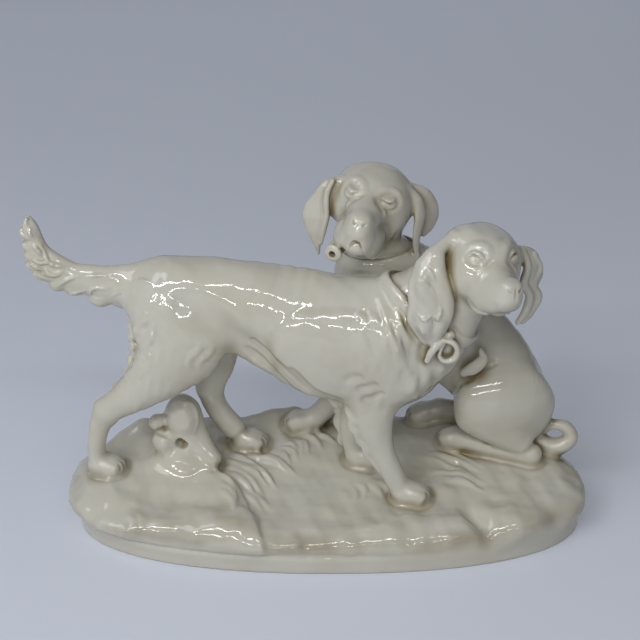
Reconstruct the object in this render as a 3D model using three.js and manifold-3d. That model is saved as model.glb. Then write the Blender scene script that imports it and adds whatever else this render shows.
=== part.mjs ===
// Glazed porcelain group of two gun dogs on a rocky oval base: a long-haired setter stands in front,
// and a smooth-haired hound sits behind it. The castings are luted together before firing.
// Units are millimetres. X runs along the base, the viewer stands at -Y, and Z is up.
import * as THREE from 'three';
import { mergeVertices } from 'three/addons/utils/BufferGeometryUtils.js';
import Module from 'manifold-3d';

const wasm = await Module();
wasm.setup();

// Joints and walls
const jointGap = 0.3; // slip joint between two castings
const wallThickness = 8; // foot wall of the hollow base
const ceilingHeight = 17; // flat ceiling of the hollow under the base

// Base
const groundHeight = 41; // turf at the middle of the base
const groundRise = 0.2; // climb of the turf from front to back, in mm per mm
const frontHeight = 28; // lowest turf, along the front
const bandHeight = 14.5; // plain band round the foot
const bandStep = 1.5; // depth of the groove above the band
const bulge = 4; // how far the rock swells past the band
const leftBulge = 5.5; // how much more it swells at the left end
const leftEnd = -120; // where that begins
const leftEase = 16; // and how gradually
const shoulder = 22; // how far in from its rim the rock rounds down
const sideShare = 0.15; // least part of the rock's height that stays upright
const endMargin = 20; // base beyond the outermost paw and tail at either end
const frontMargin = 48; // base in front of the setter's near fore paw
const backMargin = 13; // base behind the hound's far foot
const squareness = 2.25; // 2 is an ellipse, higher is squarer

// Boulder on the left: the line where it steps down to the turf, and where it ends at the back
const boulder = { from: [-98, 14], to: [-56, -68], height: 8, ease: 2, back: 34, backEase: 7 };

// Mounds and dips in the rock, turned in degrees
const mounds = [
  { x: -113, y: 2, long: 30, wide: 26, turn: 0, rise: 5 }, // under the stump
  { x: -115, y: -50, long: 25, wide: 16, turn: -4, rise: -7.5 }, // sunken dish in the boulder
  { x: -86, y: -66, long: 22, wide: 10, turn: -32, rise: 3.5 }, // front lip of the dish
  { x: -176, y: -40, long: 26, wide: 22, turn: 30, rise: 3 }, // left end
  { x: -152, y: 26, long: 17, wide: 12, turn: 15, rise: 6 }, // rock behind the stump
  { x: -48, y: 62, long: 28, wide: 12, turn: 3, rise: 9 }, // rock at the back
  { x: 62, y: -66, long: 44, wide: 13, turn: 4, rise: 5 }, // long swell along the front
  { x: 104, y: -62, long: 16, wide: 7, turn: -55, rise: -7 }, // cleft
  { x: 128, y: -62, long: 22, wide: 15, turn: -30, rise: 4.5 }, // rock beside the cleft
  { x: 150, y: -22, long: 30, wide: 26, turn: 0, rise: 2.5 }, // right end
];

// Where the feet stand, as places along and across the base
const feet = {
  setter_right_foreleg: { x: 52, y: -38 },
  setter_left_foreleg: { x: 21, y: 2 },
  setter_right_hindleg: { x: -172, y: -21 },
  setter_left_hindleg: { x: -70, y: 16 },
  hound_left_foreleg: { x: -17, y: 40 },
  hound_right_foreleg: { x: 12, y: 56 },
  hound_left_heel: { x: 149, y: 2 },
  hound_right_heel: { x: 118, y: 53 },
};

// Setter
const setter = {
  rumpHeight: 181, // middle of the rump above the foot of the base
  loinHeight: 174,
  ribHeight: 160,
  shoulderHeight: 149,
  rumpWidth: 54,
  loinWidth: 54,
  chestWidth: 60,
  rumpDepth: 62,
  loinDepth: 71,
  ribDepth: 88,
  chestDepth: 97,
  rumpX: -118,
  breastX: 62,
  rumpY: -8,
  breastY: -21,
  neckDepth: 62,
  neckWidth: 46,
  headX: 98,
  headY: -34,
  headHeight: 221, // middle of the skull
  headTurn: 20, // degrees from facing the viewer towards +X
  headDip: 4, // degrees nose down
  skullWidth: 53,
  skullLength: 50,
  muzzleLength: 24,
  muzzleWidth: 31,
  earLength: 74,
  rightEarWidth: 27,
  leftEarWidth: 15,
  earThickness: 9,
  rightEarY: -13, // the near ear hangs in front of the skull's middle
  leftEarY: 4,
  tailReach: 78,
  tailLift: 52,
  tailDepth: 33,
  tailThickness: 14,
  tailDroop: 9, // dip of the plume behind its root
  buttock: 18, // rump behind the hips
  sideSpread: 20, // shoulder blades and ribs from the middle of the trunk
  bladeWidth: 25,
  bladeDepth: 34,
  bladeHeight: 44,
  bladeLean: 14, // foot of the shoulder blade ahead of its top
  ribWidth: 24,
  ribSpan: 54,
  ribReach: 26, // ribs ahead of and behind their middle
  flankSpread: 33, // hollow of the flank from the middle of the trunk
  flankWidth: 23,
  flankReach: 20, // its ends ahead of and behind its middle
  pawLength: 30,
  pawWidth: 20,
  pawHeight: 19,
};

// Setter's legs: the joint lies ahead of, beside and below the shoulder or the rump, with its width
// and depth. Each bend is [share of the way down, forward of the straight line, width, depth].
const setterLegs = {
  setter_right_foreleg: {
    ahead: -32, aside: -12, below: 18, width: 25, depth: 48,
    bends: [[0.3, -9, 22, 34], [0.52, -11, 17, 24], [0.68, -9, 15, 18], [0.84, -7, 15, 16]],
  },
  setter_left_foreleg: {
    ahead: -36, aside: 14, below: 20, width: 24, depth: 40,
    bends: [[0.4, -8, 18, 22], [0.66, -8, 15, 17], [0.84, -4, 15, 15]],
  },
  setter_right_hindleg: {
    ahead: 10, aside: -17, below: 9, width: 25, depth: 58,
    bends: [
      [0.2, 11, 27, 62], [0.36, 6, 24, 44], [0.52, -8, 19, 26], [0.63, -18, 15, 17], [0.82, -13, 13, 14],
    ],
  },
  setter_left_hindleg: {
    ahead: 16, aside: 16, below: 14, width: 24, depth: 54,
    bends: [[0.4, 3, 21, 34], [0.55, -5, 18, 22], [0.7, -12, 15, 18], [0.84, -12, 15, 16]],
  },
};

// Hound: its head looks over the setter's back
const headOverBack = 37; // middle of its skull above the setter's ribs
const hound = {
  rumpX: 138,
  rumpY: 27,
  rumpHeight: 74,
  ribX: 96,
  ribHeight: 128,
  shoulderX: 44,
  shoulderY: 37,
  shoulderHeight: 164,
  bodyWidth: 60,
  bodyDepth: 74,
  neckDepth: 48,
  neckWidth: 42,
  headX: 28,
  headY: 26,
  headHeight: setter.ribHeight + setter.ribDepth / 2 + headOverBack,
  headTurn: -4,
  headRoll: -13, // degrees of tilt, towards its left ear when positive
  headDip: 6,
  skullWidth: 58,
  skullLength: 48,
  muzzleLength: 25,
  muzzleWidth: 32,
  earLength: 60,
  rightEarWidth: 20,
  leftEarWidth: 20,
  earThickness: 8,
  rightEarY: -4,
  leftEarY: -2,
  thighWidth: 38,
  thighDepth: 68,
  kneeX: 103,
  kneeHeight: 93,
  footLength: 66,
  footWidth: 18,
  footHeight: 19,
  footToeIn: 12, // how far the toe lies inwards of the heel
  shankDepth: 34,
  hockDepth: 22,
  pawLength: 32,
  pawWidth: 20,
  pawHeight: 18,
  tailRing: 9, // middle radius of the curl
  tailThickness: 9,
};

// Hound's forelegs, alike on both sides
const houndForelegs = {
  ahead: 8, below: 26, width: 23, depth: 40,
  bends: [[0.45, 14, 20, 26], [0.72, 10, 18, 19], [0.88, 6, 18, 17]],
};

// Small pieces
const setterCollarShare = 0.66; // how far up the neck the collar sits
const houndCollarShare = 0.6;
const collarThickness = 3.5;
const collarWidth = 13;
const bowLoop = 8; // middle radius of a bow loop
const bowThickness = 5;
const bowAhead = 3; // knot ahead of the collar's middle
const bowDrop = 21; // knot below the collar's middle
const bowSpread = 22; // degrees that each loop leans out
const stickDiameter = 12;
const stickBore = 4.5;
const stickLength = 16;
const stickTilt = 10; // degrees out of the plane of the face
const stickTurn = 115; // degrees towards the corner of the mouth
const strapWidth = 9;
const strapThickness = 5;
const strapLength = 22;
const leadAhead = -2; // lead end from the hound's ribs
const leadBelow = 22;
const branchDiameter = 12;
const branchReach = 24;
const stumpHeight = 45; // top of the stump above the rock
const stumpWidth = 34;
const stumpX = -111;
const stumpY = 1;

// Facets of the skins
const sides = 12;
const stepsPerSpan = 2;
const capRings = 2;
const swellingEnds = 0.6; // size of a swelling's ends beside its middle
const rimSides = 88;
const shoulderLoops = 6; // on the rounded edge of the rock
const turfLoops = 18; // from there to the middle

const yAxis = new THREE.Vector3(0, 1, 0);
const degrees = THREE.MathUtils.degToRad;
const mix = THREE.MathUtils.lerp;
const clamp = THREE.MathUtils.clamp;

// A closed surface over equal loops of points, drawn to a point at either end
function skin(loops, firstPole, lastPole) {
  const count = loops[0].length;
  const points = [...loops.flat(), firstPole, lastPole];
  const first = points.length - 2;
  const last = points.length - 1;
  const end = (loops.length - 1) * count;
  const faces = [];
  for (let j = 0; j < count; j++) {
    const k = (j + 1) % count;
    faces.push(first, k, j, last, end + j, end + k);
    for (let i = 0; i < loops.length - 1; i++) {
      const a = i * count;
      const b = a + count;
      faces.push(a + j, a + k, b + j, a + k, b + k, b + j);
    }
  }
  return new THREE.BufferGeometry().setFromPoints(points).setIndex(faces);
}

// A round-ended body along a spline of stations [x, y, z, width, depth]: width is measured along Y
function loft(stations, grow = 0, roundness = 1) {
  const path = new THREE.CatmullRomCurve3(stations.map((s) => new THREE.Vector3(s[0], s[1], s[2])));
  const halves = stations.map((s) => new THREE.Vector2(s[3] / 2 + grow, s[4] / 2 + grow));
  const girth = new THREE.SplineCurve(halves);
  const steps = stepsPerSpan * (stations.length - 1);
  const loops = [];
  const ring = (t, lean) => {
    const tangent = path.getTangent(t);
    const up = tangent.clone().cross(yAxis).normalize();
    const side = up.clone().cross(tangent);
    const half = girth.getPoint(t);
    const reach = roundness * Math.min(half.x, half.y) * Math.sin(lean);
    const centre = path.getPoint(t).addScaledVector(tangent, reach);
    const shrink = Math.cos(lean);
    return Array.from({ length: sides }, (_, j) => {
      const angle = (2 * Math.PI * j) / sides;
      return centre.clone()
        .addScaledVector(side, half.x * shrink * Math.cos(angle))
        .addScaledVector(up, half.y * shrink * Math.sin(angle));
    });
  };
  const pole = (t, sign) => {
    const half = girth.getPoint(t);
    const reach = roundness * Math.min(half.x, half.y);
    return path.getPoint(t).addScaledVector(path.getTangent(t), sign * reach);
  };
  const lean = (i) => (i * Math.PI) / 2 / capRings;
  for (let i = capRings - 1; i > 0; i--) loops.push(ring(0, -lean(i)));
  for (let i = 0; i <= steps; i++) loops.push(ring(i / steps, 0));
  for (let i = 1; i < capRings; i++) loops.push(ring(1, lean(i)));
  return skin(loops, pole(0, -1), pole(1, 1));
}

// Closed geometry to solid and back
function solid(geometry) {
  const bare = new THREE.BufferGeometry().setAttribute('position', geometry.getAttribute('position'));
  const merged = mergeVertices(bare.setIndex(geometry.index), 1e-4);
  const triVerts = new Uint32Array(merged.index.array);
  const vertProperties = merged.attributes.position.array;
  return new wasm.Manifold(new wasm.Mesh({ numProp: 3, vertProperties, triVerts }));
}

function geometryOf(body) {
  const mesh = body.getMesh();
  const geometry = new THREE.BufferGeometry();
  geometry.setAttribute('position', new THREE.BufferAttribute(mesh.vertProperties, 3));
  geometry.setIndex(new THREE.BufferAttribute(mesh.triVerts, 1));
  return geometry;
}

// The same solid seen in another frame
function moved(body, matrix) {
  const geometry = geometryOf(body).applyMatrix4(matrix);
  const vertProperties = geometry.getAttribute('position').array;
  return new wasm.Manifold(new wasm.Mesh({ numProp: 3, vertProperties, triVerts: geometry.index.array }));
}

const joined = (...geometries) => geometries.map(solid).reduce((whole, next) => whole.add(next));
const cutBy = (body, ...cutters) => cutters.reduce((rest, cutter) => rest.subtract(cutter), body);
const outOf = (body, group) => moved(body, group.matrix);

// Clear gloss glaze over cream porcelain
function glaze() {
  return new THREE.MeshStandardMaterial({ color: '#d8d5c8', roughness: 0.1, metalness: 0 });
}

function piece(name, body) {
  const mesh = new THREE.Mesh(geometryOf(body).toNonIndexed(), glaze());
  mesh.geometry.computeVertexNormals();
  mesh.name = name;
  return mesh;
}

// The base follows the stance of the dogs
const footList = Object.values(feet);
const baseLeft = Math.min(...footList.map((f) => f.x)) - endMargin;
const baseRight = Math.max(...footList.map((f) => f.x)) + endMargin + 2 * hound.tailRing;
const baseFront = Math.min(...footList.map((f) => f.y)) - frontMargin;
const baseBack = Math.max(...footList.map((f) => f.y)) + backMargin;
const baseX = (baseLeft + baseRight) / 2;
const baseY = (baseFront + baseBack) / 2;
const halfLength = (baseRight - baseLeft) / 2;
const halfDepth = (baseBack - baseFront) / 2;

// A soft step from 0 to 1 about zero
const ease = (distance, soft) => 1 / (1 + Math.exp(-distance / soft));

function boulderStep(x, y) {
  const [fromX, fromY] = boulder.from;
  const runX = boulder.to[0] - fromX;
  const runY = boulder.to[1] - fromY;
  const inland = ((x - fromX) * runY - (y - fromY) * runX) / Math.hypot(runX, runY);
  return boulder.height * ease(inland, boulder.ease) * ease(boulder.back - y, boulder.backEase);
}

function moundAt(mound, x, y) {
  const c = Math.cos(degrees(mound.turn));
  const s = Math.sin(degrees(mound.turn));
  const along = ((x - mound.x) * c + (y - mound.y) * s) / mound.long;
  const across = ((y - mound.y) * c - (x - mound.x) * s) / mound.wide;
  return mound.rise * Math.exp(-(along ** 2 + across ** 2));
}

// Height of the rock away from its rim: a gentle climb to the back, with the boulder and the mounds
function plateau(x, y) {
  const slope = Math.max(groundHeight + groundRise * y, frontHeight);
  return mounds.reduce((height, mound) => height + moundAt(mound, x, y), slope + boulderStep(x, y));
}

// How far the rock has rounded down at a place that lies some way in from its rim
function rounding(inset, height) {
  const radius = Math.min(shoulder, (1 - sideShare) * (height - bandHeight - bandStep));
  return (Math.sqrt(radius) - Math.sqrt(clamp(inset, 0, radius))) ** 2;
}

const bulgeAt = (x) => bulge + leftBulge * ease(leftEnd - x, leftEase);

// Height of the rock that a foot stands on
function ground(x, y) {
  const along = Math.abs(x - baseX) / halfLength;
  const across = Math.abs(y - baseY) / halfDepth;
  const reach = (along ** squareness + across ** squareness) ** (1 / squareness);
  const power = squareness - 1;
  const slope = Math.hypot((along / reach) ** power / halfLength, (across / reach) ** power / halfDepth);
  const height = plateau(x, y);
  return height - rounding((1 - reach) / slope + bulgeAt(x), height);
}

function rimPoint(j, swell, height) {
  const power = 2 / squareness;
  const angle = (2 * Math.PI * j) / rimSides;
  const c = Math.cos(angle);
  const s = Math.sin(angle);
  const x = baseX + (halfLength + swell) * Math.sign(c) * Math.abs(c) ** power;
  const y = baseY + (halfDepth + swell) * Math.sign(s) * Math.abs(s) ** power;
  return new THREE.Vector3(x, y, height);
}

const loopOf = (point) => Array.from({ length: rimSides }, (_, j) => point(j));
const rim = (swell, height) => loopOf((j) => rimPoint(j, swell, height));

function rockPoint(j, inset, share, lift) {
  const edge = rimPoint(j, 0, 0);
  const point = rimPoint(j, bulgeAt(edge.x) - inset, 0);
  point.x = mix(baseX, point.x, share);
  point.y = mix(baseY, point.y, share);
  const height = plateau(point.x, point.y);
  point.z = height - rounding(inset, height) + lift;
  return point;
}

function baseGeometry(lift = 0) {
  const insets = Array.from({ length: shoulderLoops + 1 }, (_, i) => shoulder * (i / shoulderLoops) ** 2);
  const shares = Array.from({ length: turfLoops }, (_, i) => 1 - (i + 1) / (turfLoops + 1));
  const loops = [
    rim(-wallThickness, ceilingHeight),
    rim(-wallThickness, 0),
    rim(0, 0),
    rim(0, bandHeight - bandStep),
    rim(-bandStep, bandHeight),
    rim(0, bandHeight + bandStep),
    ...insets.map((inset) => loopOf((j) => rockPoint(j, inset, 1, lift))),
    ...shares.map((share) => loopOf((j) => rockPoint(j, shoulder, share, lift))),
  ];
  const ceiling = new THREE.Vector3(baseX, baseY, ceilingHeight);
  const middle = new THREE.Vector3(baseX, baseY, plateau(baseX, baseY) + lift);
  return skin(loops, ceiling, middle);
}

// A standing leg from its joint down to a paw on the turf; stride is the paw's length in the way it points
function leg(joint, foot, bends, stride, dog, grow = 0) {
  const floor = ground(foot.x, foot.y);
  const toeFloor = ground(foot.x + stride / 2, foot.y);
  const shin = bends.map(([down, forward, width, depth]) => {
    const x = mix(joint[0], foot.x, down) + forward;
    return [x, mix(joint[1], foot.y, down), mix(joint[2], floor, down), width, depth];
  });
  const pawStation = (ahead, height, wide, tall) => {
    const z = mix(floor, toeFloor, Math.max(0, 2 * ahead)) + height * dog.pawHeight;
    return [foot.x + ahead * stride, foot.y, z, wide * dog.pawWidth, tall * dog.pawHeight];
  };
  const ankle = pawStation(-0.12, 0.5, 0.8, 0.8);
  const heel = pawStation(-0.1, 0.42, 0.84, 0.9);
  const knuckles = pawStation(0.2, 0.42, 1, 1);
  const toes = pawStation(0.44, 0.32, 0.8, 0.66);
  return joined(loft([joint, ...shin, ankle], grow), loft([heel, knuckles, toes], grow));
}

// Setter
const setterAlong = (share) => mix(setter.rumpX, setter.breastX, share);
const setterAcross = (share) => mix(setter.rumpY, setter.breastY, share);
const setterUp = (share) => mix(setter.shoulderHeight, setter.headHeight, share);
const setterAhead = (share) => mix(setter.breastX, setter.headX, share);
const setterAside = (share) => mix(setter.breastY, setter.headY, share);

const setterBehind = setter.rumpX - setter.buttock;

const setterSpine = [
  [setterBehind, setter.rumpY, setter.rumpHeight, setter.rumpWidth * 0.66, setter.rumpDepth * 0.7],
  [setter.rumpX, setter.rumpY, setter.rumpHeight, setter.rumpWidth, setter.rumpDepth],
  [setterAlong(0.32), setterAcross(0.3), setter.loinHeight, setter.loinWidth, setter.loinDepth],
  [setterAlong(0.54), setterAcross(0.5), setter.ribHeight, setter.chestWidth, setter.ribDepth],
  [setterAlong(0.85), setterAcross(0.9), setter.shoulderHeight, setter.chestWidth, setter.chestDepth],
  [setter.breastX, setter.breastY, setter.shoulderHeight, setter.chestWidth * 0.8, setter.chestDepth * 0.7],
];

const setterNeck = [
  [setterAlong(0.81), setter.breastY, setterUp(0.08), setter.chestWidth * 0.85, setter.neckDepth * 1.15],
  [setterAhead(-0.2), setter.breastY, setterUp(0.34), setter.neckWidth * 1.08, setter.neckDepth],
  [setterAhead(0.3), setterAside(0.4), setterUp(0.6), setter.neckWidth, setter.neckDepth * 0.86],
  [setterAhead(0.72), setterAside(0.8), setterUp(0.84), setter.neckWidth * 0.8, setter.neckDepth * 0.62],
];

// Three stations through a middle, the outer two a step away from it and smaller
function swelling(centre, step, width, depth) {
  return [-1, 0, 1].map((share) => {
    const size = mix(1, swellingEnds, Math.abs(share));
    const at = centre.map((value, axis) => value + share * step[axis]);
    return [...at, size * width, size * depth];
  });
}

// Relief on one side of the setter's trunk, with side -1 towards the viewer
function setterShoulder(side) {
  const centre = [setterAlong(0.89), setterAcross(0.9) + side * setter.sideSpread, setter.shoulderHeight];
  const step = [setter.bladeLean / 2, 0, -setter.bladeHeight / 2];
  return swelling(centre, step, setter.bladeWidth, setter.bladeDepth);
}

function setterRibs(side) {
  const height = mix(setter.ribHeight, setter.shoulderHeight, 0.8);
  const centre = [setterAlong(0.63), setterAcross(0.63) + side * setter.sideSpread, height];
  return swelling(centre, [setter.ribReach, 0, 0], setter.ribWidth, setter.ribSpan);
}

function setterFlank(side) {
  const height = mix(setter.rumpHeight, setter.ribHeight, 0.66);
  const centre = [setterAlong(0.22), setterAcross(0.22) + side * setter.flankSpread, height];
  const step = [setter.flankReach, 0, -setter.flankReach];
  return swelling(centre, step, setter.flankWidth, setter.flankWidth);
}

function setterBody(grow = 0) {
  const bothSides = (form) => [-1, 1].map((side) => form(side));
  const swellings = [...bothSides(setterShoulder), ...bothSides(setterRibs)];
  const trunk = joined(...[setterSpine, setterNeck, ...swellings].map((form) => loft(form, grow)));
  return cutBy(trunk, ...bothSides(setterFlank).map((form) => solid(loft(form, -grow))));
}

function setterTail() {
  const rootX = setter.rumpX - setter.buttock / 2;
  const rootZ = setter.rumpHeight + setter.rumpDepth * 0.22;
  const station = (share, rise, wide, deep) => {
    const x = rootX - share * setter.tailReach;
    return [x, setter.rumpY, rootZ + rise, wide * setter.tailThickness, deep * setter.tailDepth];
  };
  return solid(loft([
    station(0, 0, 1, 0.7),
    station(0.3, -setter.tailDroop, 1, 1),
    station(0.62, -setter.tailDroop / 3, 0.8, 0.8),
    station(0.88, setter.tailLift * 0.2, 0.7, 0.72),
    station(1, setter.tailLift * 0.55, 0.5, 0.5),
    station(1.03, setter.tailLift * 0.75, 0.35, 0.25),
  ]));
}

function setterLeg(name, grow = 0) {
  const plan = setterLegs[name];
  const fore = name.endsWith('foreleg');
  const [x, y, z] = fore
    ? [setter.breastX, setter.breastY, setter.shoulderHeight]
    : [setter.rumpX, setter.rumpY, setter.rumpHeight];
  const joint = [x + plan.ahead, y + plan.aside, z - plan.below, plan.width, plan.depth];
  return leg(joint, feet[name], plan.bends, setter.pawLength, setter, grow);
}

// Heads are modelled facing local +X with the middle of the skull at the origin
function headGroup(dog, roll) {
  const group = new THREE.Group();
  group.position.set(dog.headX, dog.headY, dog.headHeight);
  group.rotation.set(degrees(roll), degrees(dog.headDip), degrees(dog.headTurn - 90), 'ZYX');
  group.updateMatrix();
  return group;
}

function headSolid(dog, grow = 0) {
  const half = dog.skullLength / 2;
  const nose = half + dog.muzzleLength;
  const tip = dog.muzzleWidth * 0.36;
  const drop = dog.muzzleWidth * -0.34; // muzzle below the middle of the skull
  const skull = loft([
    [-half * 0.5, 0, 0, dog.skullWidth * 0.86, dog.skullWidth * 0.8],
    [half * 0.1, 0, 0, dog.skullWidth, dog.skullWidth * 0.96],
    [half * 0.6, 0, drop * 0.2, dog.skullWidth * 0.8, dog.skullWidth * 0.76],
  ], grow, 0.6);
  const muzzle = loft([
    [half * 0.3, 0, drop * 0.75, dog.muzzleWidth * 1.2, dog.muzzleWidth * 1.2],
    [mix(half, nose, 0.3), 0, drop, dog.muzzleWidth, dog.muzzleWidth * 1.1],
    [nose - tip, 0, drop * 0.9, dog.muzzleWidth * 0.82, dog.muzzleWidth],
  ], grow, 0.8);
  return joined(skull, muzzle);
}

// A hanging ear: out from the side of the skull, then down, spread along X
function ear(dog, side, grow = 0) {
  const width = side < 0 ? dog.rightEarWidth : dog.leftEarWidth;
  const y = dog.headY + (side < 0 ? dog.rightEarY : dog.leftEarY);
  const rootX = dog.headX + side * dog.skullWidth * 0.42;
  const outX = dog.headX + side * (dog.skullWidth * 0.5 + width * 0.42);
  const top = dog.headHeight + dog.skullWidth * 0.2;
  return solid(loft([
    [rootX, y, top, dog.earThickness, width * 0.5],
    [outX, y, top - dog.earLength * 0.28, dog.earThickness, width * 0.92],
    [outX, y, top - dog.earLength * 0.62, dog.earThickness, width],
    [mix(outX, rootX, 0.25), y, top - dog.earLength * 0.92, dog.earThickness * 0.8, width * 0.42],
  ], grow));
}

const setterHead = headGroup(setter, 0);
const houndHead = headGroup(hound, hound.headRoll);

// Hound
const houndAcross = (share) => mix(hound.rumpY, hound.shoulderY, share);
const houndUp = (share) => mix(hound.shoulderHeight, hound.headHeight, share);
const houndBack = (share) => mix(hound.rumpX, hound.ribX, share);
const houndRise = (share) => mix(hound.rumpHeight, hound.ribHeight, share);
const houndAhead = (share) => mix(hound.shoulderX, hound.headX, share);
const houndWithers = mix(hound.ribHeight, hound.shoulderHeight, 0.65);
const houndThroat = mix(hound.shoulderY, hound.headY, 0.5);

const houndSpine = [
  [hound.rumpX, hound.rumpY, hound.rumpHeight, hound.bodyWidth * 0.96, hound.bodyDepth * 0.8],
  [houndBack(0.45), houndAcross(0.3), houndRise(0.5), hound.bodyWidth, hound.bodyDepth * 0.9],
  [hound.ribX, houndAcross(0.5), hound.ribHeight, hound.bodyWidth, hound.bodyDepth],
  [
    mix(hound.ribX, hound.shoulderX, 0.6), houndAcross(0.8), houndWithers,
    hound.bodyWidth * 0.94, hound.bodyDepth,
  ],
  [houndAhead(0.25), hound.shoulderY, houndUp(0.05), hound.bodyWidth * 0.8, hound.bodyDepth * 0.84],
];

const houndNeck = [
  [hound.shoulderX, hound.shoulderY, hound.shoulderHeight, hound.neckWidth * 1.1, hound.neckDepth * 1.2],
  [houndAhead(0.7), hound.shoulderY, houndUp(0.34), hound.neckWidth, hound.neckDepth],
  [hound.headX, houndThroat, houndUp(0.72), hound.neckWidth * 0.9, hound.neckDepth * 0.84],
];

function houndBody(grow = 0) {
  return joined(loft(houndSpine, grow), loft(houndNeck, grow));
}

// A folded hind leg: thigh, shank, and the long foot flat on the turf; outward is -1 for the left leg
function houndHindleg(heel, outward, grow = 0) {
  const hipY = hound.rumpY + outward * hound.bodyWidth * 0.3;
  const kneeY = hipY + outward * hound.thighWidth * 0.2;
  const across = (share) => mix(hipY, kneeY, share);
  const rise = (share) => mix(hound.rumpHeight, hound.kneeHeight, share);
  const thigh = loft([
    [houndBack(-0.28), hipY, hound.rumpHeight, hound.thighWidth * 0.7, hound.thighDepth * 0.7],
    [houndBack(0.05), across(0.25), rise(0.4), hound.thighWidth, hound.thighDepth],
    [mix(hound.rumpX, hound.kneeX, 0.5), across(0.6), rise(0.7), hound.thighWidth, hound.thighDepth],
    [hound.kneeX, kneeY, hound.kneeHeight, hound.thighWidth * 0.8, hound.thighDepth * 0.64],
  ], grow);
  const hockX = heel.x - hound.footHeight / 2;
  const hockZ = ground(heel.x, heel.y) + hound.hockDepth * 0.6;
  const shank = loft([
    [
      houndBack(0.66), kneeY, hound.kneeHeight - hound.shankDepth / 2,
      hound.thighWidth * 0.6, hound.shankDepth,
    ],
    [hockX, mix(hipY, heel.y, 0.7), hockZ, hound.thighWidth * 0.55, hound.hockDepth],
  ], grow);
  const foot = loft([0, 0.35, 0.7, 0.9].map((share) => {
    const x = heel.x - hound.footLength * share;
    const y = heel.y - outward * hound.footToeIn * share;
    const height = hound.footHeight * (1 - 0.15 * share ** 4);
    return [x, y, ground(x, y) + hound.footHeight * 0.36, hound.footWidth, height];
  }), grow);
  return joined(thigh, shank, foot);
}

function houndForeleg(foot, outward) {
  const plan = houndForelegs;
  const x = hound.shoulderX + plan.ahead;
  const y = hound.shoulderY + outward * hound.bodyWidth * 0.24;
  const joint = [x, y, hound.shoulderHeight - plan.below, plan.width, plan.depth];
  return leg(joint, foot, plan.bends, -hound.pawLength, hound);
}

function houndTail() {
  const curl = hound.tailRing;
  const girth = hound.tailThickness;
  const x = feet.hound_left_heel.x + curl * 2.2;
  const y = mix(hound.rumpY, feet.hound_left_heel.y, 0.4);
  const floor = ground(x, y) + girth * 0.5;
  const middle = floor + curl;
  const station = (along, aside, z, share) => {
    return [x + along * curl, y + aside * curl, z, share * girth, share * girth];
  };
  return solid(loft([
    [houndBack(-0.2), hound.rumpY, hound.rumpHeight - hound.bodyDepth * 0.2, girth * 1.6, girth * 1.6],
    station(-1, 0.3, floor, 1.2),
    station(0.3, 0, floor, 1),
    station(1, 0, middle, 0.9),
    station(0, 0.1, middle + curl * 0.9, 0.8),
    station(-0.7, 0.3, middle + curl * 0.4, 0.6),
  ]));
}

// Middle, direction and girth of a neck at some share of its length
function neckAt(neck, share) {
  const path = new THREE.CatmullRomCurve3(neck.map((s) => new THREE.Vector3(s[0], s[1], s[2])));
  const girth = new THREE.SplineCurve(neck.map((s) => new THREE.Vector2(s[3], s[4])));
  return { centre: path.getPoint(share), along: path.getTangent(share), size: girth.getPoint(share) };
}

// A band round a neck: a slice of the grown neck, later cut by the neck itself
function collarSlice(neck, share, grow = 0) {
  const { centre, along, size } = neckAt(neck, share);
  const end = (sign) => {
    const p = centre.clone().addScaledVector(along, sign * collarWidth * 0.35);
    return [p.x, p.y, p.z, size.x + 2 * collarThickness, size.y + 2 * collarThickness];
  };
  return solid(loft([end(-1), end(1)], grow, (collarWidth * 0.3) / size.x));
}

// Bow: a knot with two loops, on the breast side of the setter's collar
function collarBow() {
  const { centre, size } = neckAt(setterNeck, setterCollarShare);
  const at = {
    x: centre.x + bowAhead,
    y: centre.y - size.x * 0.45,
    z: centre.z - bowDrop,
  };
  const loop = (shift, tilt) => {
    const ring = new THREE.TorusGeometry(bowLoop, bowThickness / 2, sides / 2, sides);
    return ring.rotateX(Math.PI / 2).rotateY(degrees(tilt)).translate(at.x + shift, at.y, at.z - bowLoop);
  };
  const knot = new THREE.SphereGeometry(bowLoop * 0.8, sides, sides / 2).translate(at.x, at.y, at.z);
  return joined(knot, loop(-bowLoop * 0.7, bowSpread), loop(bowLoop * 0.9, -bowSpread));
}

// The rolled end that the hound carries at the corner of its mouth, with a bore in its face
function retrievedStick() {
  const x = hound.skullLength / 2 + hound.muzzleLength * 0.4;
  const y = -hound.muzzleWidth * 0.5;
  const z = -hound.skullWidth * 0.46;
  const roll = new THREE.CylinderGeometry(stickDiameter / 2, stickDiameter / 2, stickLength, sides);
  const bore = new THREE.CylinderGeometry(stickBore / 2, stickBore / 2, stickLength, sides);
  bore.translate(0, -stickLength / 2, 0);
  const aim = (shape) => shape.rotateX(degrees(stickTilt)).rotateZ(degrees(stickTurn)).translate(x, y, z);
  return solid(aim(roll)).subtract(solid(aim(bore)));
}

// Loose end of the lead, lying on the hound's flank
function leadEnd() {
  const x = hound.ribX + leadAhead;
  const y = hound.rumpY - hound.bodyWidth * 0.47;
  const z = hound.ribHeight - leadBelow;
  return solid(loft([
    [x, y, z, strapThickness, strapWidth],
    [x + strapLength * 0.6, y, z + strapLength * 0.7, strapThickness, strapWidth],
  ]));
}

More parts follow.
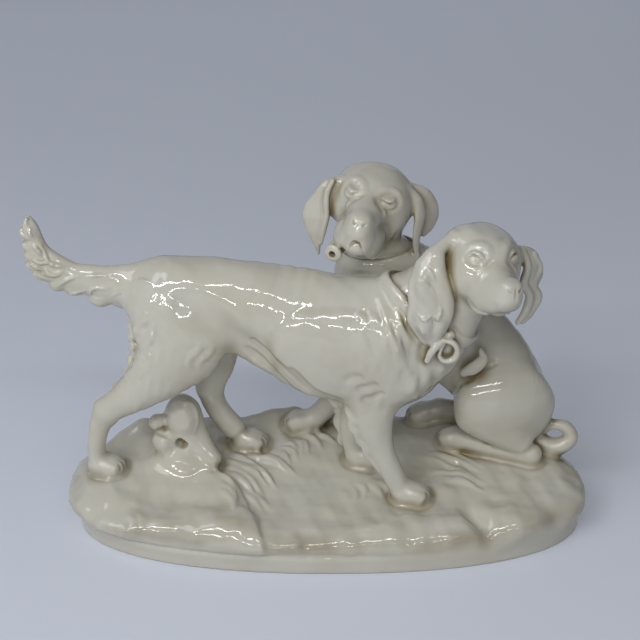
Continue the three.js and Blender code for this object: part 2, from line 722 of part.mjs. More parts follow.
// Broken stump with a cut branch at its side
function treeStump() {
  const floor = ground(stumpX, stumpY);
  const trunk = loft([
    [stumpX, stumpY, floor, stumpWidth * 1.3, stumpWidth * 1.5],
    [stumpX, stumpY, floor + stumpHeight * 0.4, stumpWidth * 0.9, stumpWidth * 1.05],
    [stumpX, stumpY, floor + stumpHeight * 0.72, stumpWidth * 0.8, stumpWidth * 0.9],
  ]);
  const tipX = stumpX - branchReach;
  const tipY = stumpY - branchDiameter / 2;
  const branch = loft([
    [stumpX, stumpY, floor + stumpHeight * 0.46, branchDiameter, branchDiameter],
    [tipX, tipY, floor + stumpHeight * 0.52, branchDiameter, branchDiameter],
  ]);
  return joined(trunk, branch);
}

// Assembly: each piece is cut back from the neighbours that it is luted to
const turfCutter = solid(baseGeometry(jointGap));
const setterCutter = setterBody(jointGap);
const houndCutter = houndBody(jointGap);
const setterSkullCutter = outOf(headSolid(setter, jointGap), setterHead);
const houndSkullCutter = outOf(headSolid(hound, jointGap), houndHead);
const setterBand = (grow) => collarSlice(setterNeck, setterCollarShare, grow);
const bandCutter = cutBy(setterBand(jointGap), setterBody());
const earCutter = ear(setter, -1, jointGap);
const thighCutter = houndHindleg(feet.hound_left_heel, -1, jointGap);

const model = new THREE.Group();
model.add(piece('base', solid(baseGeometry())));
model.add(piece('tree_stump', cutBy(treeStump(), turfCutter, setterLeg('setter_left_hindleg', jointGap))));

const setterGroup = new THREE.Group();
setterGroup.add(piece('setter_body', cutBy(setterBody(), setterSkullCutter)));
setterGroup.add(piece('setter_tail', cutBy(setterTail(), setterCutter)));
for (const name of Object.keys(setterLegs)) {
  setterGroup.add(piece(name, cutBy(setterLeg(name), setterCutter, turfCutter)));
}
for (const [name, side] of [['setter_right_ear', -1], ['setter_left_ear', 1]]) {
  setterGroup.add(piece(name, cutBy(ear(setter, side), setterSkullCutter, setterCutter, bandCutter)));
}
setterGroup.add(piece('setter_collar', cutBy(setterBand(), setterCutter, setterSkullCutter)));
setterGroup.add(piece('collar_bow', cutBy(collarBow(), setterCutter, bandCutter, earCutter)));
setterHead.add(piece('setter_head', headSolid(setter)));
setterGroup.add(setterHead);
model.add(setterGroup);

const houndGroup = new THREE.Group();
const clearOf = (limb) => cutBy(limb, houndCutter, setterCutter, turfCutter);
const houndLimb = (name, limb) => houndGroup.add(piece(name, clearOf(limb)));
houndGroup.add(piece('hound_body', cutBy(houndBody(), houndSkullCutter, setterCutter, turfCutter)));
houndLimb('hound_left_hindleg', houndHindleg(feet.hound_left_heel, -1));
houndLimb('hound_right_hindleg', houndHindleg(feet.hound_right_heel, 1));
houndLimb('hound_left_foreleg', houndForeleg(feet.hound_left_foreleg, -1));
houndLimb('hound_right_foreleg', houndForeleg(feet.hound_right_foreleg, 1));
houndLimb('hound_tail', houndTail());
houndGroup.add(piece('hound_right_ear', cutBy(ear(hound, -1), houndSkullCutter, houndCutter)));
houndGroup.add(piece('hound_left_ear', cutBy(ear(hound, 1), houndSkullCutter, houndCutter)));
const houndBand = collarSlice(houndNeck, houndCollarShare);
houndGroup.add(piece('hound_collar', cutBy(houndBand, houndCutter, houndSkullCutter, setterCutter)));
houndGroup.add(piece('lead_end', cutBy(leadEnd(), houndCutter, thighCutter)));
houndHead.add(piece('hound_head', headSolid(hound)));
houndHead.add(piece('retrieved_stick', cutBy(retrievedStick(), headSolid(hound, jointGap))));
houndGroup.add(houndHead);
model.add(houndGroup);

// The part's origin is the bottom centre of its box
model.updateMatrixWorld(true);
const box = new THREE.Box3().setFromObject(model, true);
const middle = box.getCenter(new THREE.Vector3());
model.position.set(-middle.x, -middle.y, -box.min.z);

const group = new THREE.Group();
group.add(model);
export default group;
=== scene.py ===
import math
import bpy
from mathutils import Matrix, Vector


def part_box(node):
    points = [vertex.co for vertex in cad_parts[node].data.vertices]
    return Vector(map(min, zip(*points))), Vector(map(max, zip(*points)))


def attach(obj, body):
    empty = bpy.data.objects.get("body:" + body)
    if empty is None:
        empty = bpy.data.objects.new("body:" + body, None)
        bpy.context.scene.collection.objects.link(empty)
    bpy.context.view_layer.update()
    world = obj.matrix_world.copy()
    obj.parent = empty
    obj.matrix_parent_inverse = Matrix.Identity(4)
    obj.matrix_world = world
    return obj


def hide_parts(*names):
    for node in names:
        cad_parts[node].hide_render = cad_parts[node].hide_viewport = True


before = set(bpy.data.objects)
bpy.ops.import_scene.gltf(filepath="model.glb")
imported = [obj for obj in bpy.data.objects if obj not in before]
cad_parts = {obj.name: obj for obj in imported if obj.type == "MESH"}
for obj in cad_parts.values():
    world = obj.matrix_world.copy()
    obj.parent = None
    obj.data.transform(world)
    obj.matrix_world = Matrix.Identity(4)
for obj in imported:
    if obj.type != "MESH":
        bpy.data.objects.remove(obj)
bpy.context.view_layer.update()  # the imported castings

from concurrent.futures import ThreadPoolExecutor

import bpy
import numpy as np
import openvdb
from mathutils import Euler, Matrix, Vector

# Sculpting frame, in millimetres: x along the base, y away from the viewer, z up from the foot
sculpt = {
    "mm": 0.001,
    "footMiddle": (-2.5, -8.5),  # middle of the foot in the sculpting frame
    "far": 60.0,  # distance given where no form is near
    "overlap": 1.3,  # how many voxels two castings run into each other at a joint
    "dip": 0.3,  # how steeply each goes under the other there
    "pad": 10.0,  # how far from a form its distance is worked out
    "slack": 4.0,  # and how much farther from each stretch of a tube
    "thinnest": 0.3,  # half size that no tube falls below
    "reliefReach": 5.0,  # how far from the surface its relief is worked out
    "tiny": 1e-6,
    "tinySlope": 1e-9,
    "waves": 8,  # in each swell of lumps
    "waveSpread": (0.75, 1.3),
    "noLimit": 999,  # end of a window that is open on one side
}
baseLow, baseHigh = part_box("base")
shift = np.array([
    (baseLow.x + baseHigh.x) / 2 - sculpt["footMiddle"][0] * sculpt["mm"],
    (baseLow.y + baseHigh.y) / 2 - sculpt["footMiddle"][1] * sculpt["mm"],
    baseLow.z,
])


def toFrame(points):
    return np.asarray(points) * sculpt["mm"] + shift


# Camera at the photo's angle: 25 degrees down, long lens
camera = {"at": (-10, -819.4, 541.7), "pitch": 65, "lens": 71.04, "sensor": 36}


def addCamera():
    data = bpy.data.cameras.new("camera")
    data.lens = camera["lens"]
    data.sensor_width = camera["sensor"]
    body = bpy.data.objects.new("camera", data)
    body.location = toFrame(camera["at"])
    body.rotation_euler = (math.radians(camera["pitch"]), 0, 0)
    bpy.context.scene.collection.objects.link(body)
    bpy.context.scene.camera = body


addCamera()
print("camera set")


# Sculpting kit: soft forms as distance fields, joined with fillets and skinned as meshes
def mixed(a, b, share):
    return a + (b - a) * share


def unit(vector):
    vector = np.array(vector, float)
    return vector / np.linalg.norm(vector)


def smoothPath(stations, steps):
    # Catmull-Rom curve through rows of any number of values
    rows = np.array(stations, float)
    rows = np.vstack([2 * rows[0] - rows[1], rows, 2 * rows[-1] - rows[-2]])
    out = []
    for i in range(1, len(rows) - 2):
        a, b, c, d = rows[i - 1:i + 3]
        for t in np.arange(steps) / steps:
            out.append(b + 0.5 * t * (c - a + t * (2 * a - 5 * b + 4 * c - d + t * (3 * (b - c) + d - a))))
    out.append(rows[-2])
    return np.array(out)


class Pose:
    # turned frame in which a head is sculpted: x ahead, y to its left, z up
    def __init__(self, at=(0, 0, 0), roll=0, dip=0, turn=0):
        self.at = np.array(at, float)
        turns = Matrix.Rotation(math.radians(turn), 3, "Z") @ Matrix.Rotation(math.radians(dip), 3, "Y")
        self.axes = np.array(turns @ Matrix.Rotation(math.radians(roll), 3, "X"))

    def place(self, point):
        return self.axes @ np.array(point, float) + self.at

    def facing(self, point, turn, dip):
        # frame at a point of this one, turned aside and tipped
        view = Pose(self.place(point), 0, dip, turn)
        view.axes = self.axes @ view.axes
        return view


upright = Pose()


def softMin(a, b, k):
    h = np.maximum(k - np.abs(a - b), 0) / k
    return np.minimum(a, b) - h * h * k * 0.25


def softMax(a, b, k):
    return -softMin(-a, -b, k)


def ellipsoid(centre, radii, turn=(0, 0, 0), pose=upright):
    axes = pose.axes @ np.array(Euler([math.radians(a) for a in turn]).to_matrix())
    middle = pose.place(centre)
    radii = np.array(radii, float)
    reach = np.sqrt(((axes * radii) ** 2).sum(axis=1))

    def distance(points):
        local = (points - middle) @ axes
        near = np.sqrt(((local / radii) ** 2).sum(axis=1)) + sculpt["tiny"]
        slope = np.sqrt(((local / radii ** 2) ** 2).sum(axis=1)) + sculpt["tinySlope"]
        return near * (near - 1) / slope

    return distance, middle - reach, middle + reach


def tube(stations, side=(0, 1, 0), steps=4, pose=upright):
    # stations are x, y, z, half size along side, half size across it
    rows = smoothPath(stations, steps)
    rows[:, :3] = rows[:, :3] @ pose.axes.T + pose.at
    rows[:, 3:] = np.maximum(rows[:, 3:], sculpt["thinnest"])
    side = pose.axes @ np.array(side, float)
    parts = []
    for a, b in zip(rows[:-1], rows[1:]):
        length = np.linalg.norm(b[:3] - a[:3])
        if length < sculpt["tiny"]:
            continue
        along = (b[:3] - a[:3]) / length
        across = unit(side - (side @ along) * along)
        axes = np.array([along, across, np.cross(along, across)]).T
        pad = max(*a[3:], *b[3:])
        parts.append((a, b, length, axes, np.minimum(a, b)[:3] - pad, np.maximum(a, b)[:3] + pad))
    low = np.min([part[4] for part in parts], axis=0)
    high = np.max([part[5] for part in parts], axis=0)
    reach = sculpt["pad"] + sculpt["slack"]

    def distance(points):
        best = np.full(len(points), sculpt["far"], np.float32)
        for a, b, length, axes, partLow, partHigh in parts:
            near = np.flatnonzero(((points > partLow - reach) & (points < partHigh + reach)).all(axis=1))
            if not near.size:
                continue
            local = (points[near] - a[:3]) @ axes
            t = np.clip(local[:, 0] / length, 0, 1)
            wide = mixed(a[3], b[3], t)
            deep = mixed(a[4], b[4], t)
            end = np.minimum(wide, deep)
            u, v, w = local[:, 0] - t * length, local[:, 1], local[:, 2]
            size = np.sqrt((u / end) ** 2 + (v / wide) ** 2 + (w / deep) ** 2) + sculpt["tiny"]
            slope = np.sqrt((u / end ** 2) ** 2 + (v / wide ** 2) ** 2 + (w / deep ** 2) ** 2)
            best[near] = np.minimum(best[near], size * (size - 1) / (slope + sculpt["tinySlope"]))
        return best

    return distance, low, high


class Sculpture:
    # forms of several castings that run into each other with fillets
    def __init__(self, relief):
        self.forms = []
        self.relief = relief

    def add(self, piece, form, blend, bias=0.0):
        self.forms.append((piece, form, blend, bias))

    def cut(self, form, blend):
        self.forms.append((None, form, blend, 0.0))

    def box(self, piece):
        mine = [(form, blend) for name, form, blend, _ in self.forms if name == piece]
        low = np.min([form[1] - blend for form, blend in mine], axis=0)
        high = np.max([form[2] + blend for form, blend in mine], axis=0)
        return low, high

    def measure(self, points, piece=None):
        # fused distance, and how much nearer this casting is than the others
        whole = np.full(len(points), sculpt["far"], np.float32)
        own, other = whole.copy(), whole.copy()
        allLow, allHigh = points.min(axis=0), points.max(axis=0)
        for name, (distance, low, high), blend, bias in self.forms:
            edge = blend + sculpt["pad"]
            if (allHigh < low - edge).any() or (allLow > high + edge).any():
                continue
            near = np.flatnonzero(((points > low - edge) & (points < high + edge)).all(axis=1))
            if not near.size:
                continue
            d = distance(points[near]).astype(np.float32)
            if name is None:
                whole[near] = -softMin(-whole[near], d, blend)
                continue
            whole[near] = softMin(whole[near], d, blend)
            part = own if name == piece else other
            part[near] = np.minimum(part[near], d + bias)
        near = np.flatnonzero(np.abs(whole) < sculpt["reliefReach"])
        whole[near] -= self.relief(points[near])
        return whole, (own - other) / 2


def lumps(points, size, seed):
    # smooth random swell of about +-1, with bumps about size millimetres apart
    rng = np.random.default_rng(seed)
    waves = sculpt["waves"]
    aims = rng.normal(size=(waves, points.shape[1]))
    lengths = np.linalg.norm(aims, axis=1, keepdims=True)
    aims *= rng.uniform(*sculpt["waveSpread"], (waves, 1)) * 2 * math.pi / size / lengths
    phases = rng.uniform(0, 2 * math.pi, waves)
    return np.sin(points @ aims.T + phases).sum(axis=1) / math.sqrt(waves)


def swell(points, layers):
    # lumps of several sizes; layers are size, seed, height
    return sum(height * lumps(points, size, seed) for size, seed, height in layers)


def window(values, low, high, soft):
    # 1 between low and high, easing to 0 over soft
    return 1 / (1 + np.exp(-(values - low) / soft)) / (1 + np.exp((values - high) / soft))


# Ground of the base: turf that climbs to the back, a boulder on the left, rocks, and tufts of grass
turf = {
    "height": 41,
    "rise": 0.2,  # per millimetre towards the back
    "front": 28,  # lowest at the front
    "frontBlend": 10,
    "boulderEdge": ((-98, 14), (-56, -68)),  # where the boulder steps down to the grass
    "boulderWander": (40, 8, 3),  # size, seed and height of that edge's swing
    "boulderStep": 2.0,
    "boulderHeight": 8,
    "boulderBack": 34,
    "boulderFade": 7,
    "swell": [(52, 3, 1), (22, 4, 0.5), (10, 9, 0.14)],
    "feel": (15, 70, 276),  # lowest, highest and number of heights at which the floor is felt for
    "gridPitch": 0.8,
    "gridEnd": 1.001,  # cells at the end of the grid that are not read into
    "low": (-215, -110),
    "high": (212, 92),
}

# mounds and dips: x, y, half length, half width, turn in degrees, height
mounds = [
    (-113, 2, 30, 26, 0, 5.0),  # under the stump
    (-115, -50, 25, 16, -4, -7.5),  # sunken dish in the boulder
    (-86, -66, 22, 10, -32, 3.5),  # its front lip
    (-176, -40, 26, 22, 30, 3.0),
    (-144, 26, 23, 12, 10, 10.0),  # rock behind the stump
    (-48, 62, 28, 12, 3, 6.0),  # rock at the back
    (20, -62, 60, 12, 3, -2.0),
    (62, -66, 44, 13, 4, 5.0),  # long swell along the front
    (104, -62, 16, 7, -55, -7.0),  # cleft
    (128, -62, 22, 15, -30, 4.5),  # rock beside the cleft
    (150, -22, 30, 26, 0, 2.5),
    (100, 62, 44, 12, 0, 3.0),
    (-30, -46, 26, 16, 20, -1.6),
]

# tufts of grass: x, y, aim in degrees, spread, strokes, length, height
tufts = [
    (-78, 8, -36, 18, 6, 56, 4.4),
    (-84, -8, -44, 22, 6, 48, 4.2),
    (-74, -32, -58, 30, 5, 30, 2.8),
    (-28, 30, -52, 60, 6, 28, 3.4),
    (-46, 16, -46, 40, 5, 28, 3.0),
    (70, 14, -26, 24, 6, 50, 3.4),
    (76, -6, -20, 22, 5, 42, 3.2),
    (22, -22, -66, 60, 4, 24, 1.8),
    (-150, -62, -80, 50, 4, 20, 1.4),
]

blades = {
    "seed": 17,
    "jitter": 5,  # degrees
    "lateStart": 0.3,  # of the length, at most
    "tuftWidth": 20,
    "stray": 2,
    "length": (0.55, 0.9),  # of the tuft's
    "halfWidth": (3.4, 5.0),
    "height": (0.6, 1.1),  # of the tuft's
    "sway": 2.6,
    "swayTurn": 3.6,  # radians of the sway along a blade
    "rootWidth": 1.1,
    "taper": 0.75,
    "endSoft": 2.5,
    "arch": (0.14, 0.8),  # where on a half wave its height starts, and how much of it follows
}


def strokes():
    # each blade: start, aim, length, half width, height
    rng = np.random.default_rng(blades["seed"])
    for x, y, aim, spread, count, length, rise in tufts:
        for i in range(count):
            place = (i + 0.5) / count - 0.5
            angle = math.radians(aim + spread * place + rng.uniform(-blades["jitter"], blades["jitter"]))
            start = rng.uniform(0, blades["lateStart"]) * length
            side = blades["tuftWidth"] * place + rng.uniform(-blades["stray"], blades["stray"])
            px = x + start * math.cos(angle) - side * math.sin(angle)
            py = y + start * math.sin(angle) + side * math.cos(angle)
            run = length * rng.uniform(*blades["length"])
            halfWidth = rng.uniform(*blades["halfWidth"])
            yield px, py, angle, run, halfWidth, rise * rng.uniform(*blades["height"])


def grassHeight(x, y):
    height = np.zeros_like(x)
    archStart, archRun = blades["arch"]
    for px, py, angle, run, halfWidth, rise in strokes():
        u = (x - px) * math.cos(angle) + (y - py) * math.sin(angle)
        v = (y - py) * math.cos(angle) - (x - px) * math.sin(angle)
        v = v - blades["sway"] * np.sin(u / run * blades["swayTurn"])
        t = np.clip(u / run, 0, 1)
        across = np.clip(1 - (v / (halfWidth * (blades["rootWidth"] - blades["taper"] * t))) ** 2, 0, 1)
        ends = np.exp(-((u - t * run) / blades["endSoft"]) ** 2)
        along = ends * np.sin(math.pi * (t * archRun + archStart))
        height = np.maximum(height, rise * across * along)
    return height


def turfHeights():
    xs = np.arange(turf["low"][0], turf["high"][0], turf["gridPitch"])
    ys = np.arange(turf["low"][1], turf["high"][1], turf["gridPitch"])
    x, y = np.meshgrid(xs, ys, indexing="ij")
    flat = np.stack([x, y], axis=-1).reshape(-1, 2)
    noLimit = sculpt["noLimit"]
    front = np.full_like(x, turf["front"])
    height = softMax(turf["height"] + turf["rise"] * y, front, turf["frontBlend"])
    (ax, ay), (bx, by) = turf["boulderEdge"]
    inland = ((x - ax) * (by - ay) - (y - ay) * (bx - ax)) / math.hypot(bx - ax, by - ay)
    inland = inland + swell(flat, [turf["boulderWander"]]).reshape(x.shape)
    boulder = turf["boulderHeight"] * window(inland, 0, noLimit, turf["boulderStep"])
    height += boulder * window(y, -noLimit, turf["boulderBack"], turf["boulderFade"])
    for mx, my, longHalf, wideHalf, turn, rise in mounds:
        a = math.radians(turn)
        u = ((x - mx) * math.cos(a) + (y - my) * math.sin(a)) / longHalf
        v = ((y - my) * math.cos(a) - (x - mx) * math.sin(a)) / wideHalf
        height += rise * np.exp(-(u * u + v * v))
    return height + swell(flat, turf["swell"]).reshape(x.shape) + grassHeight(x, y)


turfGrid = turfHeights()
print("turf laid:", turfGrid.shape, "heights")


def ground(x, y):
    # height of the turf, read between the points of its grid
    u = (np.asarray(x, float) - turf["low"][0]) / turf["gridPitch"]
    v = (np.asarray(y, float) - turf["low"][1]) / turf["gridPitch"]
    u = np.clip(u, 0, turfGrid.shape[0] - turf["gridEnd"])
    v = np.clip(v, 0, turfGrid.shape[1] - turf["gridEnd"])
    i, j = u.astype(int), v.astype(int)
    s, t = u - i, v - j
    near = mixed(turfGrid[i, j], turfGrid[i + 1, j], s)
    return mixed(near, mixed(turfGrid[i, j + 1], turfGrid[i + 1, j + 1], s), t)


# Base: a rocky pillow over a plain foot band, open underneath
base = {
    "middle": sculpt["footMiddle"],
    "halfLength": 188.0,
    "halfDepth": 76.0,
    "squareness": 2.25,
    "core": 1e-3,  # least share of the way out from the middle
    "bandHeight": 14.5,
    "grooveDepth": 1.5,
    "grooveWidth": 1.6,
    "grooveEnd": 40,  # the groove fades out to the right of this
    "bulge": 4.0,  # rock standing out over the band
    "leftBulge": 5.5,
    "leftEnd": -120,
    "endFade": 16,
    "bulgeHeight": 28,
    "bulgeSpread": 13,
    "rough": [(60, 5, 1.8), (27, 6, 0.9), (12, 7, 0.22)],  # size, seed, height
    "roughStart": 3,  # above the band
    "roughFade": 2.2,
    "topSlope": 0.93,  # the turf's height as a distance
    "shoulder": 22,  # blend of the top into the sides
    "footEdge": 1.2,
    "wall": 8,
    "ceiling": 17,
    "ceilingEdge": 3,
    "boxLow": -2.0,
    "boxHigh": 72.0,
    "voxel": 1.38,
}


def rockField(points):
    # distance to the rock, and to the upright face of the foot
    x, y, z = points[:, 0], points[:, 1], points[:, 2]
    power = base["squareness"]
    u = np.maximum(np.abs(x - base["middle"][0]) / base["halfLength"], base["core"])
    v = np.maximum(np.abs(y - base["middle"][1]) / base["halfDepth"], base["core"])
    reach = (u ** power + v ** power) ** (1 / power)
    slope = np.hypot(u ** (power - 1) / base["halfLength"], v ** (power - 1) / base["halfDepth"])
    side = (reach - 1) * reach ** (power - 1) / slope
    noLimit = sculpt["noLimit"]
    bulge = base["bulge"] + base["leftBulge"] * window(x, -noLimit, base["leftEnd"], base["endFade"])
    offset = bulge * np.exp(-((z - base["bulgeHeight"]) / base["bulgeSpread"]) ** 2)
    roughness = window(z, base["bandHeight"] + base["roughStart"], noLimit, base["roughFade"])
    offset += swell(points, base["rough"]) * roughness
    groove = np.exp(-((z - base["bandHeight"]) / base["grooveWidth"]) ** 2)
    offset -= base["grooveDepth"] * (groove * window(x, -noLimit, base["grooveEnd"], base["endFade"]))
    return softMax((z - ground(x, y)) * base["topSlope"], side - offset, base["shoulder"]), side


def baseField(points):
    solid, side = rockField(points)
    z = points[:, 2]
    hollow = softMax(side + base["wall"], z - base["ceiling"], base["ceilingEdge"])
    return np.maximum(softMax(solid, -z, base["footEdge"]), -hollow)


# Rock as a form that legs and roots run into. It lies a little low, so that each fillet dips under the base.
fillet = {
    "blend": 7.0,
    "drop": 0.3,
    "clear": 7,  # height over the rock at which relief begins
    "clearFade": 1.6,
}


def groundForm():
    def distance(points):
        return rockField(points)[0] + fillet["drop"]

    return distance, np.array([*turf["low"], 0.0]), np.array([*turf["high"], base["boxHigh"]])


def standOnRock(sculpture):
    sculpture.add("rock", groundForm(), fillet["blend"], fillet["blend"])


def floorAt(x, y):
    heights = np.linspace(*turf["feel"])
    column = np.column_stack([np.full(len(heights), x), np.full(len(heights), y), heights])
    return float(heights[(rockField(column)[0] < 0).sum() - 1])


def clearOfRock(points):
    # 0 at the rock and 1 well above it, so that no relief lifts the edge of a fillet
    above = points[:, 2] - ground(points[:, 0], points[:, 1])
    return window(above, fillet["clear"], sculpt["noLimit"], fillet["clearFade"])


# Skins: a coarse look at the field first, then fine values near the surface only
skins = {
    "block": 4,  # fine voxels along a coarse one
    "near": 1.5,  # coarse voxels beside the surface that get fine values
    "margin": 1.0,
    "band": 3,  # fine voxels of distance that are kept
    "relax": (0.5, -0.52),  # evens the points out, then puts the fullness back
    "rounds": 2,
    "poolAndShadeSteps": (1.6, 3.5, 7.0),  # how far out a wall is felt for
    "workers": 4,
    "quickCoarser": 1.5,
}


def gridPoints(low, counts, pitch):
    axes = [low[i] + pitch * np.arange(counts[i]) for i in range(3)]
    return np.stack(np.meshgrid(*axes, indexing="ij"), axis=-1).reshape(-1, 3).astype(np.float32)


def outward(points, quads):
    a, b, c, d = (points[quads[:, i]] for i in range(4))
    volume = (a * np.cross(b, c)).sum() + (a * np.cross(c, d)).sum()
    return quads if volume > 0 else quads[:, ::-1]


def skinField(field, low, high, voxel):
    block = skins["block"]
    coarsePitch = voxel * block
    band = voxel * skins["band"]
    counts = np.ceil((high - low) / coarsePitch).astype(int) + 2
    start = low - coarsePitch
    coarse = field(gridPoints(start + voxel * (block - 1) / 2, counts, coarsePitch)).reshape(counts)
    fine = coarse.repeat(block, 0).repeat(block, 1).repeat(block, 2).astype(np.float32)
    near = np.argwhere(np.abs(fine) < coarsePitch * skins["near"] + skins["margin"])
    fine[tuple(near.T)] = field((start + near * voxel).astype(np.float32))
    fine = np.pad(fine, 1, constant_values=band)
    grid = openvdb.FloatGrid(background=band)
    grid.copyFromArray(np.ascontiguousarray(np.clip(fine, -band, band)))
    points, _, quads = grid.convertToPolygons(isovalue=0.0, adaptivity=0.0)
    points = (points - 1) * voxel + start
    return relax(points, outward(points, quads))


def relax(points, quads):
    # takes the last voxel steps out without shrinking the form
    edges = np.vstack([quads[:, [i, (i + 1) % 4]] for i in range(4)])
    ends = np.concatenate([edges[:, 0], edges[:, 1]])
    others = np.concatenate([edges[:, 1], edges[:, 0]])
    counts = np.bincount(ends, minlength=len(points))[:, None]
    for weight in skins["relax"] * skins["rounds"]:
        sums = [np.bincount(ends, points[others, i], len(points)) for i in range(3)]
        points = points + weight * (np.column_stack(sums) / counts - points)
    return points, quads


def skinPiece(sculpture, piece, voxel):
    low, high = sculpture.box(piece)

    def field(points):
        whole, share = sculpture.measure(points, piece)
        under = whole + sculpt["dip"] * np.maximum(share, 0)
        return np.maximum(under, share - sculpt["overlap"] * voxel)

    return skinField(field, low, high, voxel)


def buildMesh(name, points, quads):
    mesh = bpy.data.meshes.new(name)
    mesh.vertices.add(len(points))
    mesh.vertices.foreach_set("co", toFrame(points).astype(np.float32).ravel())
    mesh.loops.add(quads.size)
    mesh.loops.foreach_set("vertex_index", quads.astype(np.int32).ravel())
    mesh.polygons.add(len(quads))
    mesh.polygons.foreach_set("loop_start", np.arange(0, quads.size, 4, dtype=np.int32))
    mesh.polygons.foreach_set("use_smooth", np.ones(len(quads), bool))
    mesh.update(calc_edges=True)
    mesh.validate()
    return mesh


def poolAndShadeOf(mesh, points, fields):
    # how deep each point lies in a hollow or beside another form: partly where glaze runs together, partly
    # painted shade in gaps and at contacts
    normals = np.zeros(len(points) * 3, np.float32)
    mesh.vertices.foreach_get("normal", normals)
    normals = normals.reshape(-1, 3)
    poolAndShade = np.zeros(len(points), np.float32)
    for step in skins["poolAndShadeSteps"]:
        away = (points + normals * step).astype(np.float32)
        clear = np.min([field(away) for field in fields], axis=0)
        poolAndShade += np.clip((step - clear) / step, 0, 1) / len(skins["poolAndShadeSteps"])
    return poolAndShade


def finishPiece(node, mesh, material, poolAndShade):
    # glaze pooling together with painted shade in gaps and at contacts, kept on the mesh for the glaze to
    # read
    layer = mesh.attributes.new("glazePoolAndShade", "FLOAT", "POINT")
    layer.data.foreach_set("value", poolAndShade.astype(np.float32))
    body = bpy.data.objects.new("glazed_" + node, mesh)
    mesh.materials.append(material)
    bpy.context.scene.collection.objects.link(body)
    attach(body, "root")
    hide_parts(node)


# Hair and lines: ridges and folds laid on the surface, and locks that stand free of it
lines = {
    "feel": (75, -75, 301),  # nearest, farthest and number of depths at which a surface is felt for
    "probe": 0.4,  # distance over which its slope is read
    "steps": 5,
    "ends": (0.06, 0.96),  # where on a half wave the width of a line starts and ends
    "fullness": 0.6,
}
locks = {
    # share of the way, width, thickness
    "profile": (
        (0, 0.5, 0.55), (0.2, 0.85, 0.9), (0.45, 1, 1), (0.7, 0.88, 0.88), (0.88, 0.6, 0.7), (1, 0, 0.4),
    ),
    "tressEnd": 0.45,  # thickness of a tress at its ends, and what its middle adds
    "tressSwell": 0.55,
    "tressArch": (0.12, 0.8),
    "shift": 0.35,  # of the spacing, by which a lock of a fringe moves along
    "scatter": 0.8,
    "scale": (0.8, 1.2),
    "sway": (0.6, 1.3),
    "blunt": 0.45,  # least width, at the tip
    "blend": 1.5,
    "edgeSteps": 12,
}
nearSide, farSide = Pose(turn=-90), Pose(turn=90)


def bothSides(routes):
    # routes given as x, z, for the near side and again for the far side
    for route in routes:
        yield route, nearSide
        yield [(-x, z) for x, z in route], farSide


def drape(sculpture, route, view):
    # lays points, given across and up in a view, onto the surface that the view sees
    rows = np.array(route, float)
    depths = np.linspace(*lines["feel"])
    local = np.empty((len(rows), len(depths), 3))
    local[..., 0] = depths
    local[..., 1:] = rows[:, None, :]
    points = (local.reshape(-1, 3) @ view.axes.T + view.at).astype(np.float32)
    inside = sculpture.measure(points)[0].reshape(len(rows), -1) < 0
    laid = points.reshape(local.shape)[np.arange(len(rows)), inside.argmax(axis=1)]
    return laid[inside.any(axis=1)]


def surfaceNormals(sculpture, points):
    # unit normals of the surface at points that lie on it
    steps = lines["probe"] * np.vstack([np.eye(3), -np.eye(3)])
    around = (points[:, None, :] + steps[None]).reshape(-1, 3).astype(np.float32)
    values = sculpture.measure(around)[0].reshape(-1, 6)
    slopes = values[:, :3] - values[:, 3:]
    return slopes / (np.linalg.norm(slopes, axis=1, keepdims=True) + sculpt["tinySlope"])


def surfaceTube(sculpture, route, width, rise, view, sway, sink):
    # round tube that lies in the surface, of which half the width and the rise show
    path = smoothPath(route, lines["steps"])
    t = np.linspace(0, 1, len(path))
    along = unit(path[-1] - path[0])
    path = path + np.outer(sway * np.sin(2 * math.pi * t), (-along[1], along[0]))
    laid = drape(sculpture, path, view)
    radius = (width ** 2 + rise ** 2) / (2 * rise)
    full = np.sin(math.pi * np.linspace(*lines["ends"], len(laid)))[:, None] ** lines["fullness"]
    depth = (radius - rise) * full + rise * (1 - full)
    centres = laid - surfaceNormals(sculpture, laid) * sink * depth
    return tube(np.column_stack([centres, radius * full, radius * full]), steps=2)


def ridge(sculpture, piece, route, view, width, rise, blend, sway=0.0):
    sculpture.add(piece, surfaceTube(sculpture, route, width, rise, view, sway, 1), blend)


def fold(sculpture, route, view, width, depth, blend):
    sculpture.cut(surfaceTube(sculpture, route, width, depth, view, 0, -1), blend)


def lock(root, tip, bend, width, thick, face, wave):
    # tapered tress that bows by bend and sways by wave
    root, tip, bend = (np.array(v, float) for v in (root, tip, bend))
    sway = np.cross(unit(tip - root), np.array(face, float))
    stations = []
    for t, wide, deep in locks["profile"]:
        place = root + t * (tip - root) + bend * math.sin(math.pi * t)
        place = place + sway * wave * math.sin(2 * math.pi * t)
        stations.append((*place, thick * deep, width * max(wide, locks["blunt"])))
    return tube(stations, side=face, steps=3)


def tress(route, width, thick, face):
    # long wavy mass along a route, full in the middle
    start, run = locks["tressArch"]
    shares = np.linspace(0, 1, len(route))
    full = locks["tressEnd"] + locks["tressSwell"] * np.sin(math.pi * (start + run * shares))
    return tube([(*p, thick * f, width * f) for p, f in zip(route, full)], side=face, steps=4)


def fringe(sculpture, piece, roots, tips, look):
    # row of locks between a line of roots and a line of tips
    rng = np.random.default_rng(look["seed"])
    edges = [smoothPath(line, locks["edgeSteps"]) for line in (roots, tips)]

    def along(line, share):
        at = np.clip(share, 0, 1) * (len(line) - 1)
        return np.array([np.interp(at, np.arange(len(line)), line[:, i]) for i in range(3)])

    for i in range(look["count"]):
        share = (i + 0.5 + rng.uniform(-locks["shift"], locks["shift"])) / look["count"]
        root, tip = (along(edge, share) + rng.normal(0, locks["scatter"], 3) for edge in edges)
        scale = rng.uniform(*locks["scale"])
        sway = look["wave"] * (1 if i % 2 else -1) * rng.uniform(*locks["sway"])
        width, thick = look["width"] * scale, look["thick"] * scale
        sculpture.add(piece, lock(root, tip, look["bend"], width, thick, look["face"], sway), locks["blend"])


